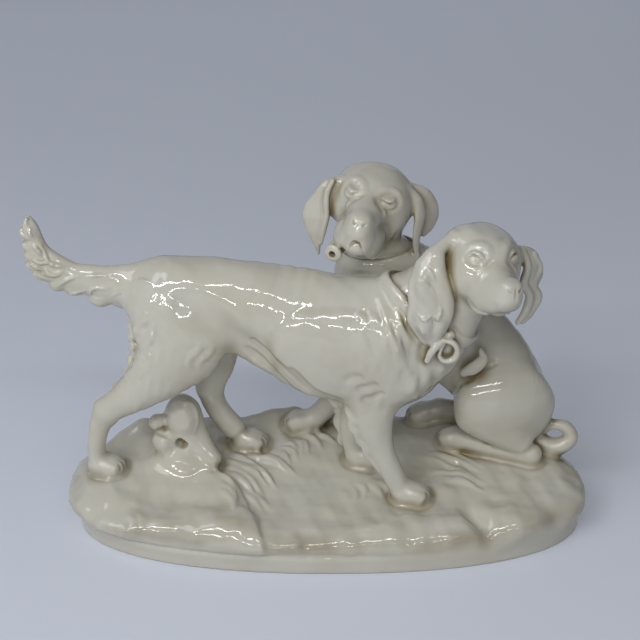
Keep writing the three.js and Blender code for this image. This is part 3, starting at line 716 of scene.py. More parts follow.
collarFeel = {"aims": 36, "nearest": 6, "stops": 160}  # directions and radii in which a neck is felt for


def bandRound(sculpture, centre, look, standOff):
    # band that lies on the neck: feels outwards for the surface all the way round
    axis = unit(look["axis"])
    across = unit(np.cross(axis, (0, 1, 0)))
    third = np.cross(axis, across)
    angles = np.linspace(0, 2 * math.pi, collarFeel["aims"], endpoint=False)
    radii = np.linspace(collarFeel["nearest"], look["reach"], collarFeel["stops"])
    aims = np.outer(np.cos(angles), across) + np.outer(np.sin(angles), third)
    points = np.array(centre) + aims[:, None, :] * radii[None, :, None]
    clear = sculpture.measure(points.reshape(-1, 3).astype(np.float32))[0].reshape(len(angles), -1)
    radius = radii[(clear > 0).argmax(axis=1)] + standOff
    radius = (np.roll(radius, 1) + np.roll(radius, -1) + 2 * radius) / 4
    ring = np.array(centre) + aims * radius[:, None]
    ring = np.vstack([ring, ring[:2]])
    return tube([(*p, look["halfWidth"], look["thick"]) for p in ring], side=axis, steps=2)


pawShape = {  # in shares of its length, width and height
    "pad": (0.47, 0.5, 0.5),
    "padRise": 0.45,
    "padBlend": 5,
    "toes": (-1, -1 / 3, 1 / 3, 1),
    "toeAhead": 0.31,
    "outerBack": 0.12,  # how much farther back the outer toes lie
    "toe": [  # ahead, aside, up, half width, half height
        (-0.32, 0.24, 0.62, 0.15, 0.22), (-0.1, 0.32, 0.57, 0.17, 0.28), (0.08, 0.34, 0.38, 0.16, 0.32),
    ],
    "toeBlend": 2.8,
    "gaps": (-0.22, 0, 0.22),
    "gapRoute": [(1, -0.5), (1, -0.2), (0.85, 0.12)],
    "gapLine": (0.8, 1.1, 1.2),  # width, depth and blend in millimetres
    "gapView": -40,  # degrees from which the gaps are drawn on
}


def paw(sculpture, piece, at, heading, length, width, height):
    # rounded pad, and four toes parted by short lines; heading is degrees from +x
    pose = Pose(at, 0, 0, heading)
    pad = np.array(pawShape["pad"]) * (length, width, height)
    rise = height * pawShape["padRise"]
    sculpture.add(piece, ellipsoid((0, 0, rise), pad, pose=pose), pawShape["padBlend"])
    for out in pawShape["toes"]:
        ahead = length * (pawShape["toeAhead"] - pawShape["outerBack"] * abs(out))
        toe = tube([
            (ahead + length * on, out * width * aside, height * up, width * wide, height * deep)
            for on, aside, up, wide, deep in pawShape["toe"]
        ], pose=pose)
        sculpture.add(piece, toe, pawShape["toeBlend"])
    view = Pose(at, 0, pawShape["gapView"], heading)
    for out in pawShape["gaps"]:
        route = [(out * width * aside, height * up) for aside, up in pawShape["gapRoute"]]
        fold(sculpture, route, view, *pawShape["gapLine"])


eyeShape = {
    "aim": (28, -22),  # degrees aside and up
    "socket": (2.5, 1.2, (4.6, 8.2, 5.8), 5.0),  # ahead of the face, up, half sizes, blend
    "ball": (-5.3, -0.5, (6.2, 7.2, 5.3), 1.8),
    "lidRise": 1.5,
    # lines as seen from in front: towards the nose, and up
    "brow": [(-7.4, 7.0), (-2.6, 9.0), (3.2, 7.6), (6.4, 4.0), (6.8, 0.3), (5.2, -2.9)],
    "lower": [(-5.0, -1.2), (-2.6, -3.2), (0.6, -3.9), (4.0, -2.6)],
    "tear": [(5.2, -2.9), (3.2, -6.7), (2.0, -10.6)],
    # width, rise or depth, and blend of each line
    "browLine": (2.2, 0.8, 2.5),
    "lidLine": (1.6, 1.3, 1.4),
    "lowerLine": (0.9, 0.8, 1.2),
    "slitLine": (0.5, 0.9, 0.7),
    "tearLine": (1.0, 0.6, 2.0),
}


def eye(sculpture, piece, head, side, at, lid):
    # soft socket and ball, then brow, lids and tear line drawn on the surface
    aside, above = eyeShape["aim"]
    view = head.facing((at[0], side * at[1], at[2]), side * aside, above)

    def drawn(route, up=0.0):
        return [(-side * u, v + up) for u, v in route]

    front = (drape(sculpture, [(0, 0)], view)[0] - view.at) @ view.axes[:, 0]
    ahead, rise, half, blend = eyeShape["socket"]
    sculpture.cut(ellipsoid((front + ahead, 0, rise), half, pose=view), blend)
    ahead, rise, half, blend = eyeShape["ball"]
    sculpture.add(piece, ellipsoid((front + ahead, 0, rise), half, pose=view), blend)
    ridge(sculpture, piece, drawn(eyeShape["brow"]), view, *eyeShape["browLine"])
    ridge(sculpture, piece, drawn(lid, eyeShape["lidRise"]), view, *eyeShape["lidLine"])
    ridge(sculpture, piece, drawn(eyeShape["lower"]), view, *eyeShape["lowerLine"])
    fold(sculpture, drawn(lid), view, *eyeShape["slitLine"])
    ridge(sculpture, piece, drawn(eyeShape["tear"]), view, *eyeShape["tearLine"])


noseShape = {
    "topAt": (-3.0, 0.4),  # ahead of the tip, and up
    "topHalf": (5.0, 3.4),
    "topTip": -10,  # degrees
    "topBlend": 5.5,
    "wingAt": (-1.0, 0.48, -0.8),  # ahead, aside in shares of the width, up
    "wingHalf": (3.2, 0.44, 2.9),
    "wingBlend": 3.0,
    "view": -14,  # degrees from which its lines are drawn on
    "comma": [(1.8, -1.6), (3.2, -2.0), (4.4, -0.9), (4.8, 0.6)],
    "commaLine": (0.7, 0.9, 1.0),
    "partTop": -0.5,
    "partLine": (0.5, 0.6, 1.4),
}


def nose(sculpture, piece, head, x, z, width, parting):
    # flat-topped nose with comma nostrils and a parting down to the lip
    ahead, up = noseShape["topAt"]
    long, high = noseShape["topHalf"]
    top = ellipsoid((x + ahead, 0, z + up), (long, width, high), (0, noseShape["topTip"], 0), head)
    sculpture.add(piece, top, noseShape["topBlend"])
    view = head.facing((x, 0, z), 0, noseShape["view"])
    ahead, aside, up = noseShape["wingAt"]
    long, wide, high = noseShape["wingHalf"]
    for side in (-1, 1):
        wing = ellipsoid((x + ahead, side * width * aside, z + up), (long, width * wide, high), pose=head)
        sculpture.add(piece, wing, noseShape["wingBlend"])
    for side in (-1, 1):
        fold(sculpture, [(side * u, v) for u, v in noseShape["comma"]], view, *noseShape["commaLine"])
    part = [(0, noseShape["partTop"]), (0, -parting / 2), (0, -parting)]
    fold(sculpture, part, view, *noseShape["partLine"])


# Setter: standing, long-haired, its head turned to the viewer
setterCoat = {
    "swell": [(32, 21, 0.42), (13, 22, 0.11)],  # size, seed, height
    "haunch": ((-150, -110, 6), (105, 175, 8)),  # from, to and fade along x and z
    "ruff": ((14, 80, 6), (110, 196, 6)),
    "ruffShare": 0.6,
    "hairHeight": 0.26,
    "hairStretch": np.array([1, 1, 0.55]),  # makes the waves longer down the coat
    "hair": (8, 23),  # size, seed
}


def setterRelief(points):
    def patch(name):
        alongX, alongZ = setterCoat[name]
        return window(points[:, 0], *alongX) * window(points[:, 2], *alongZ)

    thick = setterCoat["hairHeight"] * (patch("haunch") + setterCoat["ruffShare"] * patch("ruff"))
    hair = thick * lumps(points * setterCoat["hairStretch"], *setterCoat["hair"])
    return (swell(points, setterCoat["swell"]) + hair) * clearOfRock(points)


setter = Sculpture(setterRelief)
setterSizes = {
    # stations of tubes: x, y, z, half width, half depth
    "torso": [
        (-137, -8, 186, 15, 16), (-118, -8, 181, 26, 30.5), (-92, -10, 178, 25.5, 33.5),
        (-60, -12, 174, 26, 35), (-21, -14.5, 160.5, 29, 43.5), (10, -17.5, 152.5, 30, 47),
        (38, -20, 149, 29, 47), (58, -21, 151, 21, 34),
    ],
    "neck": [
        (26, -21, 154, 24, 33), (55, -21, 174, 23, 30), (73, -26, 193, 21.5, 26), (88, -31.5, 211, 17.5, 18),
    ],
    "throat": [
        (97, -33, 204, 14, 12), (91, -30, 187, 17, 13), (83, -27, 167, 19, 15), (72, -24, 150, 20, 18),
    ],
    "legs": {
        "setter_right_foreleg": [
            (32, -31, 134, 13, 24), (27, -35, 114, 11.5, 19), (28, -37, 98, 10, 14.2),
            (32, -38, 81, 8.2, 10.4), (38.5, -38.5, 64, 7.4, 8.4), (45, -38, 50, 7.4, 7.8),
            (50, -38, 41, 7.8, 7.8),
        ],
        "setter_left_foreleg": [
            (26, -6, 128, 12, 20), (20, -1, 108, 10, 13.5), (15, 2, 92, 8.4, 10.2), (13, 3, 76, 7.5, 8.6),
            (13.8, 3, 62, 7.3, 8), (17, 2.5, 50, 7.4, 8), (20, 2, 44, 7.6, 8),
        ],
        "setter_right_hindleg": [
            (-108, -21, 171, 13, 28), (-108.5, -26, 151, 14, 30), (-123, -27.5, 131.5, 12.5, 21.5),
            (-142, -26.5, 115, 10, 14.5), (-157, -25, 103.5, 8.2, 10.4), (-167, -23, 91, 6.9, 8.6),
            (-172, -22, 76, 6.2, 7), (-174, -20, 63, 6.5, 7), (-173, -19, 54, 7.2, 7.4),
        ],
        "setter_left_hindleg": [
            (-98, 6, 166, 12, 27), (-90, 11, 140, 11, 21), (-88, 14, 120, 10, 15.5), (-91, 15, 102, 8.8, 11),
            (-91, 16.5, 88, 8, 9.2), (-85, 18, 73, 7.6, 8.8), (-76, 20, 60, 8, 9),
        ],
    },
    "paws": {  # x, y, heading
        "setter_right_foreleg": (56, -38.5, -10), "setter_left_foreleg": (23, 1.5, -14),
        "setter_right_hindleg": (-168, -18.5, -14), "setter_left_hindleg": (-64, 20, -8),
    },
    "paw": (27.5, 19.5, 16.5),  # length, width, height
    "pawSink": 2.5,
    "foreBlend": 10,
    "hindBlend": 13,
    "tail": [
        (-122, -8, 192, 10, 13), (-140, -8, 191, 9, 15), (-155, -8, 190.5, 8.5, 14.6),
        (-170, -8, 194, 7.5, 11.8), (-183, -8, 196, 7, 11.3), (-195, -8, 203, 6.2, 11),
        (-204, -8, 213, 5.6, 9.6), (-206.5, -8, 224, 5, 7.2), (-208, -8, 233, 4.2, 5.6),
        (-209, -8, 237, 3.4, 3.8),
    ],
    "eye": (19.5, 14.5, 9.5),  # ahead, aside, up in the head
    "nose": (46, 0.5, 6.4, 8),  # ahead, up, half width, length of the parting
    "lid": [(-5.4, 0.9), (-2.6, 2.2), (1.6, 1.4), (4.8, -0.8)],  # half open
    "collarAt": (68, -25, 178),
    "collar": {"axis": (0.55, -0.06, 0.83), "reach": 48, "halfWidth": 5.4, "thick": 2.4},
    "lines": {  # width, rise or depth, blend, and sway where it has one
        "plume": (1.4, 1.5, 0.9),
        "ruff": (3.0, 1.2, 2.4, 1.0),
        "crest": (1.2, 1.0, 1.4, 0.4),
        "crease": (1.5, 0.7, 3.5),
        "dent": (1.6, 0.4, 3.0),
        "thigh": (2.4, 1.0, 2.0, 1.4),
        "ear": (1.4, 1.2, 0.9),
    },
    "voxels": {
        "setter_body": 1.15, "setter_head": 0.6, "setter_right_ear": 0.55, "setter_left_ear": 0.6,
        "setter_tail": 0.6, "setter_right_foreleg": 0.8, "setter_left_foreleg": 0.85,
        "setter_right_hindleg": 0.85, "setter_left_hindleg": 0.9, "setter_collar": 0.75, "collar_bow": 0.5,
    },
}


def sculptSetterBody():
    name = "setter_body"
    setter.add(name, tube(setterSizes["torso"]), 8)
    setter.add(name, tube(setterSizes["neck"]), 16)
    setter.add(name, tube(setterSizes["throat"]), 12)
    for side, y in ((-1, -40), (1, 0)):
        setter.add(name, ellipsoid((43, y, 149), (16, 9.5, 30), (0, -14, 0)), 14)  # shoulder blade
        setter.add(name, ellipsoid((-4, y + side * -3, 148), (32, 8, 28)), 14)  # ribs
    setter.add(name, ellipsoid((62, -24, 142), (15, 19, 27), (0, 18, 0)), 14)  # breast
    for y in (-44, 21):
        setter.cut(tube([(-98, y, 186, 9, 9), (-78, y, 167, 10, 9), (-58, y, 149, 9, 8)]), 13)  # flank hollow


def sculptSetterLegs():
    for name, stations in setterSizes["legs"].items():
        setter.add(name, tube(stations), setterSizes["hindBlend" if "hind" in name else "foreBlend"])
    setter.add("setter_right_hindleg", ellipsoid((-165, -23.5, 98), (5, 6, 8), (0, -30, 0)), 8)  # hock
    setter.add("setter_left_hindleg", ellipsoid((-97, 15.5, 99), (5, 6.5, 8)), 6)  # far hock
    for name, (x, y, heading) in setterSizes["paws"].items():
        paw(setter, name, (x, y, floorAt(x, y) - setterSizes["pawSink"]), heading, *setterSizes["paw"])


def sculptSetterTail():
    name = "setter_tail"
    setter.add(name, tube(setterSizes["tail"]), 7)
    middle, lobeHalf, aside = -8, 6.4, 2.6  # across the tail
    bend, thick, wave = (-1, 0, -1.5), 2.9, 0.8  # of the feathers at its tip
    lobes = [  # middle x, z, half length, half depth, tilt in degrees
        (-148, 181.5, 9.5, 8.8, 10), (-164, 182, 8.5, 7.6, 6), (-181, 189.5, 8.5, 6.8, -14),
        (-192, 192.5, 7, 6, -24),
    ]
    feathers = [  # root x, z, tip x, z, width
        (-190, 203, -208.5, 200.5, 5), (-196, 210, -213, 207, 4.6), (-200, 217, -213, 214, 4),
        (-202, 222, -213.5, 222, 3.6), (-204, 227, -214, 232.5, 3.2), (-206, 229, -210, 240.5, 3),
    ]
    crests = [  # x, z
        [(-123, 200), (-133, 200), (-139, 196)], [(-142, 193), (-149, 189), (-157, 184)],
        [(-150, 196), (-158, 191), (-167, 191), (-170, 187), (-168, 183), (-160, 182)],
        [(-156, 200), (-166, 200), (-174, 199)], [(-178, 199), (-185, 197), (-192, 192)],
        [(-186, 204), (-192, 201), (-198, 202), (-199, 207)], [(-172, 189), (-180, 187), (-186, 184)],
        [(-182, 206), (-190, 207), (-197, 210), (-200, 218), (-204, 228)],
        [(-197, 210), (-203, 210), (-208, 212)], [(-199, 213), (-204, 219), (-208, 224)],
        [(-205, 228), (-208, 231), (-207, 236)], [(-207, 202), (-202, 199), (-196, 196)],
        [(-211, 208), (-207, 207), (-201, 204)],
    ]
    for x, z, longHalf, deepHalf, tilt in lobes:
        setter.add(name, ellipsoid((x, middle, z), (longHalf, lobeHalf, deepHalf), (0, tilt, 0)), 1.6)
    for side in (-1, 1):
        y = middle + aside * side
        for x, z, tipX, tipZ, width in feathers:
            form = lock((x, y, z), (tipX, y, tipZ), bend, width, thick, (0, side, 0), wave)
            setter.add(name, form, locks["blend"])
    for route, view in bothSides(crests):
        ridge(setter, name, route, view, *setterSizes["lines"]["plume"])


def sculptSetterHair():
    # routes as x, z
    ruff = [  # broad waves over neck, shoulder and breast
        [(30, 193), (36, 178), (46, 159)], [(38, 192), (43, 180), (52, 165)],
        [(23, 187), (29, 172), (38, 157)], [(15, 184), (19, 172), (25, 160)],
        [(46, 194), (51, 181), (58, 170)], [(38, 166), (44, 154), (52, 144)],
        [(58, 152), (64, 140), (68, 128)], [(48, 146), (54, 132), (58, 119)],
        [(70, 152), (75, 140), (75, 127)],
    ]
    crests = [  # thin strands on them
        [(31, 191), (35, 180), (41, 168), (44, 158)], [(37, 186), (42, 174), (47, 159)],
        [(27, 185), (33, 172), (38, 161)], [(39, 192), (44, 182), (49, 172)], [(46, 184), (51, 175)],
        [(19, 184), (24, 172)], [(21, 190), (16, 184), (12, 166)],
    ]
    creases = [  # along the flank
        [(-56, 160), (-40, 146), (-24, 130), (-6, 118)], [(-60, 152), (-48, 142), (-34, 129)],
        [(-30, 142), (-14, 126), (4, 117)],
    ]
    dents = [  # at the elbow
        [(8, 136), (13, 139), (18, 139)], [(17, 129), (23, 131), (28, 133)],
        [(21, 120), (27, 122), (33, 126)],
    ]
    thigh = [  # waves on the thigh
        [(-130, 180), (-136, 168), (-138, 154)], [(-124, 172), (-130, 158), (-132, 144)],
        [(-134, 156), (-138, 142), (-143, 130)], [(-128, 150), (-132, 138), (-140, 126)],
        [(-92, 160), (-98, 150), (-100, 140)], [(-84, 156), (-90, 148), (-94, 140)],
    ]
    for route, view in bothSides(ruff):
        ridge(setter, "setter_body", route, view, *setterSizes["lines"]["ruff"])
    for route, view in bothSides(crests):
        ridge(setter, "setter_body", route, view, *setterSizes["lines"]["crest"])
    for route, view in bothSides(creases):
        fold(setter, route, view, *setterSizes["lines"]["crease"])
    for route, view in bothSides(dents):
        fold(setter, route, view, *setterSizes["lines"]["dent"])
    for route, view in bothSides(thigh):
        piece = "setter_right_hindleg" if view is nearSide else "setter_body"
        ridge(setter, piece, route, view, *setterSizes["lines"]["thigh"])
    curl = {"width": 3.6, "thick": 3.2, "wave": 1.4, "bend": (-1, 0, 0)}
    # curls down the back of the thighs
    fringe(setter, "setter_right_hindleg",
           [(-133, -18, 181), (-137, -20, 165), (-138, -20, 149), (-143, -21, 134), (-152, -22, 119)],
           [(-138, -20, 173), (-142, -22, 157), (-142, -22, 141), (-147, -23, 126), (-157, -24, 112)],
           dict(curl, count=15, width=3.0, thick=2.6, face=(-0.6, -0.8, 0), seed=41))
    fringe(setter, "setter_left_hindleg",
           [(-110, 12, 166), (-106, 15, 148), (-101, 17, 132), (-100, 18, 118)],
           [(-116, 13, 152), (-109, 16, 135), (-103, 18, 119), (-101, 18, 106)],
           dict(curl, count=8, face=(-0.6, 0.8, 0), seed=42))
    # short fringe along the belly
    for y, face, seed in ((-30, -0.8, 43), (2, 0.8, 44)):
        fringe(setter, "setter_body",
               [(-62, y + 4, 146), (-40, y, 135), (-18, y, 122), (4, y, 114), (26, y, 110)],
               [(-50, y + 4, 138), (-28, y, 124), (-6, y, 110), (14, y, 105.5), (36, y, 104)],
               dict(curl, count=14, thick=2.6, wave=0.9, bend=(0, 0, -1), face=(0, face, -0.6), seed=seed))
    # feather behind the forelegs
    fringe(setter, "setter_right_foreleg", [(15, -36, 124), (15, -38, 108), (20, -39, 92), (29, -39, 74)],
           [(11, -37, 106), (15, -39, 90), (24, -39, 72), (35, -39, 55)],
           dict(curl, count=8, bend=(-2, 0, 0), face=(-0.5, -0.85, 0), seed=45))
    fringe(setter, "setter_left_foreleg", [(11, 3, 114), (8, 4, 98), (6, 5, 82), (8, 5, 66)],
           [(7, 3, 96), (5, 4, 80), (6, 5, 64), (11, 5, 50)],
           dict(curl, count=7, bend=(-2, 0, 0), face=(-0.5, -0.85, 0), seed=46))


setterHead = Pose((98, -34, 221), roll=-5, dip=4, turn=-70)


def sculptSetterHead():
    name = "setter_head"

    def put(form, blend):
        setter.add(name, form, blend)

    put(ellipsoid((-7, 2, 1.5), (24.5, 26.5, 20), pose=setterHead), 8)  # skull
    for side in (-1, 1):
        put(ellipsoid((9, side * 9 + 1, 7), (11.5, 11, 9.5), pose=setterHead), 9)  # forehead
        put(ellipsoid((4, side * 16.5, -8), (15, 8, 13), pose=setterHead), 9)  # cheek
    put(tube([(10, 0, -4, 16.5, 15.5), (24, 0, -6, 13.2, 12.6), (36, 0, -7, 11, 11.4), (42, 0, -7, 9.6, 10)],
             pose=setterHead), 9)  # muzzle
    put(tube([(8, 0, -19, 10, 6.5), (22, 0, -23.5, 8.6, 4.6), (35, 0, -22, 6.2, 3.6)],
             pose=setterHead), 4)  # jaw
    for side in (-1, 1):
        put(tube([
            (42, side * 4, -10, 5.2, 7.6), (34, side * 8, -13, 5, 9.2), (25, side * 10.8, -15, 4.4, 9.6),
            (17, side * 12.2, -14, 3.6, 8),
        ], pose=setterHead), 4)  # flew
        put(tube([
            (17, side * 11.5, -21, 3, 3.6), (25, side * 11, -24.5, 2.6, 2.8), (33, side * 8, -23.5, 2, 2),
        ], pose=setterHead), 1.2)  # lower lip
    put(tube([(-6, 0, -16, 16, 11), (6, 0, -19, 12, 8)], pose=setterHead), 8)  # throat
    setter.add(name, ellipsoid((86, -34, 233.5), (10, 9, 7.6), (0, -24, 0)), 8)  # root of the near ear
    put(ellipsoid((6, 1, 7), (11, 7, 9), pose=setterHead), 9)  # middle of the brow
    for side in (-1, 1):
        eye(setter, name, setterHead, side, setterSizes["eye"], setterSizes["lid"])
    nose(setter, name, setterHead, *setterSizes["nose"])


def sculptSetterEars():
    right, left = "setter_right_ear", "setter_left_ear"
    face = (-0.3, -0.95, 0.1)
    setter.add(right, tube([
        (79, -36, 237, 4, 4.5), (70, -42, 231.5, 4.2, 5), (64.5, -46, 225, 4.8, 7.5),
        (62, -48, 216, 5.2, 9.8), (63.5, -49.5, 204, 5.4, 12), (64, -49.5, 192, 5.2, 12),
        (62.5, -49.5, 180, 5, 11.2), (63, -48.5, 171, 4.2, 8), (64.5, -48, 165, 3, 4),
    ], side=face), 4)  # flap
    for route, width in (  # fills the middle of the flap
        ([(66, -46, 226), (66, -50.5, 212), (67.5, -52, 202), (67.5, -52, 190), (65, -51, 176)], 9),
        ([(59, -47, 222), (57, -50.5, 211), (58, -52, 200), (58, -52, 188), (61, -51, 176)], 8),
    ):
        setter.add(right, tress(route, width, 4.2, face), 4)
    for route, width, thick in (  # wavy tresses over it
        ([(69, -45, 229), (67, -50, 220), (70, -52.5, 209), (74.5, -53, 199), (75, -53, 188), (72, -52, 177),
          (66, -50, 166)], 3.9, 3.4),
        ([(64, -47, 226), (58, -52, 216), (58, -54, 207), (64, -54, 198), (63, -53.5, 189), (58, -53, 182)],
         5.4, 4.0),
        ([(61, -46, 222), (53, -49, 213), (51.5, -50, 203), (53, -51, 194), (51.5, -51, 185), (55, -50, 176),
          (62, -49, 166)], 3.8, 3.6),
        ([(55, -53, 193), (60, -54.5, 186), (61, -54, 178), (64, -51, 168)], 5.4, 4.0),
        ([(66, -54, 195), (70, -54.5, 187), (69, -53.5, 178), (66, -51, 167)], 4.4, 3.8),
    ):
        setter.add(right, tress(route, width, thick, face), 2.0)
    for route in (  # strands, as x, z
        [(52, 206), (56, 213), (62, 210), (67, 203)], [(54, 192), (59, 187), (64, 189)],
        [(66, 189), (72, 186)], [(56, 182), (59, 177), (62, 170)], [(60, 223), (64, 217), (66, 211)],
        [(69, 200), (70, 192), (67, 185)],
    ):
        ridge(setter, right, route, nearSide, *setterSizes["lines"]["ear"])
    out = (0.72, -0.66, 0.1)
    setter.add(left, tube([
        (122, -26, 221, 4, 5), (130, -22, 217.5, 4, 7), (136, -20, 211, 3.8, 8), (136, -20, 197, 3.6, 7),
        (137, -21, 186, 3.2, 6.4), (134, -22, 176, 3, 4.6), (130, -23, 170, 2.6, 3),
    ], side=out), 3.5)  # far flap
    for route, width in (  # and its tresses
        ([(127, -26, 223), (131, -27, 212), (129, -27, 200), (134, -25, 190), (132, -26, 179),
          (127, -26, 170)], 3.2),
        ([(136, -21, 219), (141, -19, 208), (136.5, -21, 197), (141, -20, 187), (136, -22, 177),
          (131, -23, 170)], 3.4),
        ([(139, -15, 213), (142, -14, 202), (138, -16, 192), (141, -16, 183), (137, -18, 176)], 3.2),
    ):
        setter.add(left, tress(route, width, 3.2, out), 1.2)


def sculptSetterCollar():
    band = bandRound(setter, setterSizes["collarAt"], setterSizes["collar"], 0)
    setter.add("setter_collar", band, 0.8)
    name = "collar_bow"
    setter.add(name, ellipsoid((77, -49, 171), (4.6, 4, 4.2)), 1.2)  # knot
    setter.add(name, tube([
        (76, -50, 170, 2.4, 2.6), (70, -53, 166, 2.6, 2.9), (65, -54, 160, 2.6, 2.9),
        (63, -53, 154, 2.4, 2.4),
    ]), 1.0)  # loose end
    setter.add(name, tube([
        (74, -52, 169, 2.4, 2), (80, -54, 167.5, 2.6, 2.1), (83, -54, 162, 2.6, 2.1),
        (81, -53, 155.5, 2.6, 2.1), (75, -53, 153.5, 2.6, 2.1), (71, -52, 157, 2.4, 2),
        (72, -52, 163, 2.2, 1.8), (75, -51, 168, 2.2, 1.8),
    ]), 0.8)  # loop
    setter.add(name, ellipsoid((76.5, -46.6, 161), (7.4, 2.6, 7.6)), 1.2)  # inside of the loop


sculptSetterBody()
sculptSetterCollar()
sculptSetterLegs()
sculptSetterTail()
sculptSetterHair()
sculptSetterHead()
sculptSetterEars()
standOnRock(setter)
print("setter sculpted:", len(setter.forms), "forms")


# Hound: sitting behind, smooth-haired, its head turned to the viewer over the setter's back
houndCoat = {"swell": [(34, 51, 0.4), (13, 52, 0.1)]}  # size, seed, height


def houndRelief(points):
    return swell(points, houndCoat["swell"]) * clearOfRock(points)


hound = Sculpture(houndRelief)
houndSizes = {
    "torso": [
        (139, 27, 73, 28, 29), (124, 29, 98, 30, 33), (98, 32, 127, 30, 36.5), (66, 35, 151, 28.5, 37),
        (41, 37, 166, 24, 31.5),
    ],
    "neck": [
        (44, 37, 165, 24, 33), (34, 36, 188, 22.5, 28), (30.5, 34, 203, 20.5, 21.5), (28, 32, 218, 19, 20),
    ],
    "hips": (27, 18),  # y between them, and how far each is aside
    "kneeOut": 8,  # from the hip
    "tuck": 3,  # keeps the far thigh below the line of the back
    "hindlegs": {  # heel x, heel y, side, how far the foot runs inwards
        "hound_left_hindleg": (149, 0, -1, 22), "hound_right_hindleg": (127, 56, 1, 5),
    },
    "forelegs": {  # paw x, paw y, side
        "hound_left_foreleg": (-17, 40, -1), "hound_right_foreleg": (12, 56, 1),
    },
    "footRun": 66,
    # share of the foot's run, rise, half sizes
    "foot": [(0, 6.5, 8, 8.5), (0.3, 7, 8.4, 8.2), (0.65, 7.5, 8.8, 8.2)],
    "hindPawAt": (54, 0.82),  # ahead of the heel, and the share of the way inwards
    "shoulders": (37, 14),  # y between them, and how far each is aside
    "forePawAt": 6,
    "paw": (30, 19, 17),  # length, width, height
    "pawSink": 2,
    "tailFloor": (166, 14),  # where the tail lies on the ground
    "eye": (19, 13.5, 13),  # ahead, aside, up in the head
    "nose": (44.6, 6.8, 6.4, 4),  # ahead, up, half width, length of the parting
    "lid": [(-4.4, 1.2), (-1.6, -0.7), (1.6, -0.9), (4.6, 0.8)],  # nearly closed
    # lines as the viewer sees them, from the middle of the head: across and up
    "chin": (-10.5, -27),
    "mouth": [(-16.4, -38), (-15.2, -31), (-11.5, -27.4), (-8, -28.8), (-5.2, -35.5), (-4.6, -39)],
    "flewEdge": [(17.6, -21), (14, -27.5), (8.8, -33.5)],
    "mouthLine": (1.1, 1.8, 0.8),  # width, depth, blend
    "flewLine": (1.0, 1.2, 1.5),
    "thighEdge": [(89, 99), (94, 110), (104, 119), (118, 124.5)],
    "thighLine": (1.3, 1.1, 4.0),
    "collarRows": 6,  # close bands that make one broad one
    "collarMiddle": (31, 35.5),
    "collarHeights": (186.5, 198.5),
    "collarOff": (3.6, 1.0),  # how far it stands off the neck, below and above
    "collar": {"axis": (-0.1, -0.06, 1), "reach": 46, "halfWidth": 4.2, "thick": 2.4},
    "voxels": {
        "hound_body": 1.2, "hound_head": 0.6, "hound_right_ear": 0.55, "hound_left_ear": 0.6,
        "hound_left_foreleg": 0.9, "hound_right_foreleg": 0.9, "hound_left_hindleg": 0.9,
        "hound_right_hindleg": 1.0, "hound_tail": 0.6, "hound_collar": 0.8, "retrieved_stick": 0.45,
        "lead_end": 0.5,
    },
}


def sculptHoundBody():
    name = "hound_body"
    hound.add(name, tube(houndSizes["torso"]), 8)
    hound.add(name, tube(houndSizes["neck"]), 14)
    for y in (13, 61):
        hound.add(name, ellipsoid((60, y, 150), (18, 9, 30), (0, 30, 0)), 14)  # shoulder


def sculptHoundHindleg(name, heelX, heelY, side, inward):
    middle, aside = houndSizes["hips"]
    hip = middle + side * aside
    knee = hip + side * houndSizes["kneeOut"]
    tuck = houndSizes["tuck"] * (1 + side)
    hound.add(name, tube([
        (150 - tuck, hip - side, 78 - 0.7 * tuck, 12, 22 - 0.7 * tuck),
        (136 - 0.3 * tuck, hip + side * 2, 86 - 0.7 * tuck, 18, 31 - 0.5 * tuck),
        (120, hip + side * 5, 91, 19, 31), (104, knee, 95, 15, 22),
    ], steps=7), 9)  # thigh
    hound.add(name, tube([
        (106, knee, 83, 11, 16), (122, knee + side, 70, 10, 12),
        (heelX - 9, mixed(knee, heelY, 0.6), 58, 8.6, 9),
    ], steps=5), 7)  # shank
    foot = []
    for share, rise, wide, deep in houndSizes["foot"]:
        x, y = heelX - houndSizes["footRun"] * share, heelY - side * inward * share
        foot.append((x, y, floorAt(x, y) + rise, wide, deep))
    hound.add(name, tube(foot), 2.5)
    ahead, share = houndSizes["hindPawAt"]
    x, y = heelX - ahead, heelY - side * inward * share
    heading = 180 + side * math.degrees(math.atan2(inward, houndSizes["footRun"]))
    paw(hound, name, (x, y, floorAt(x, y) - houndSizes["pawSink"]), heading, *houndSizes["paw"])


def sculptHoundForeleg(name, x, y, side):
    middle, aside = houndSizes["shoulders"]
    shoulder = middle + side * aside
    floor = floorAt(x, y)
    hound.add(name, tube([
        (52, shoulder, 140, 12, 20), (46, shoulder, 116, 11, 15),
        (mixed(46, x, 0.45), mixed(shoulder, y, 0.5), 92, 9.5, 11.5),
        (mixed(46, x, 0.78), y, floor + 20, 8.8, 9), (x + 4, y, floor + 10, 8.6, 8.6),
    ]), 10)
    at = (x - houndSizes["forePawAt"], y, floor - houndSizes["pawSink"])
    paw(hound, name, at, 180, *houndSizes["paw"])


def sculptHoundTail():
    floor = floorAt(*houndSizes["tailFloor"])
    hound.add("hound_tail", tube([
        (143, 24, 60, 10, 10), (155, 17, 52, 8.6, 8.6), (164, 13, floor + 6, 7.4, 7.2),
        (174, 11, floor + 7.5, 6.8, 6.4), (180, 11, floor + 15, 6, 5.6), (175, 12, floor + 23, 5.2, 4.8),
        (166, 13, floor + 24, 4.2, 4), (161, 14, floor + 18, 2.8, 2.6),
    ]), 4)


houndHead = Pose((27, 26, 240), roll=-13, dip=6, turn=-104.5)
houndFace = Pose((27, 26, 240), 0, -19.6, -92.5)  # the same head as the viewer sees it


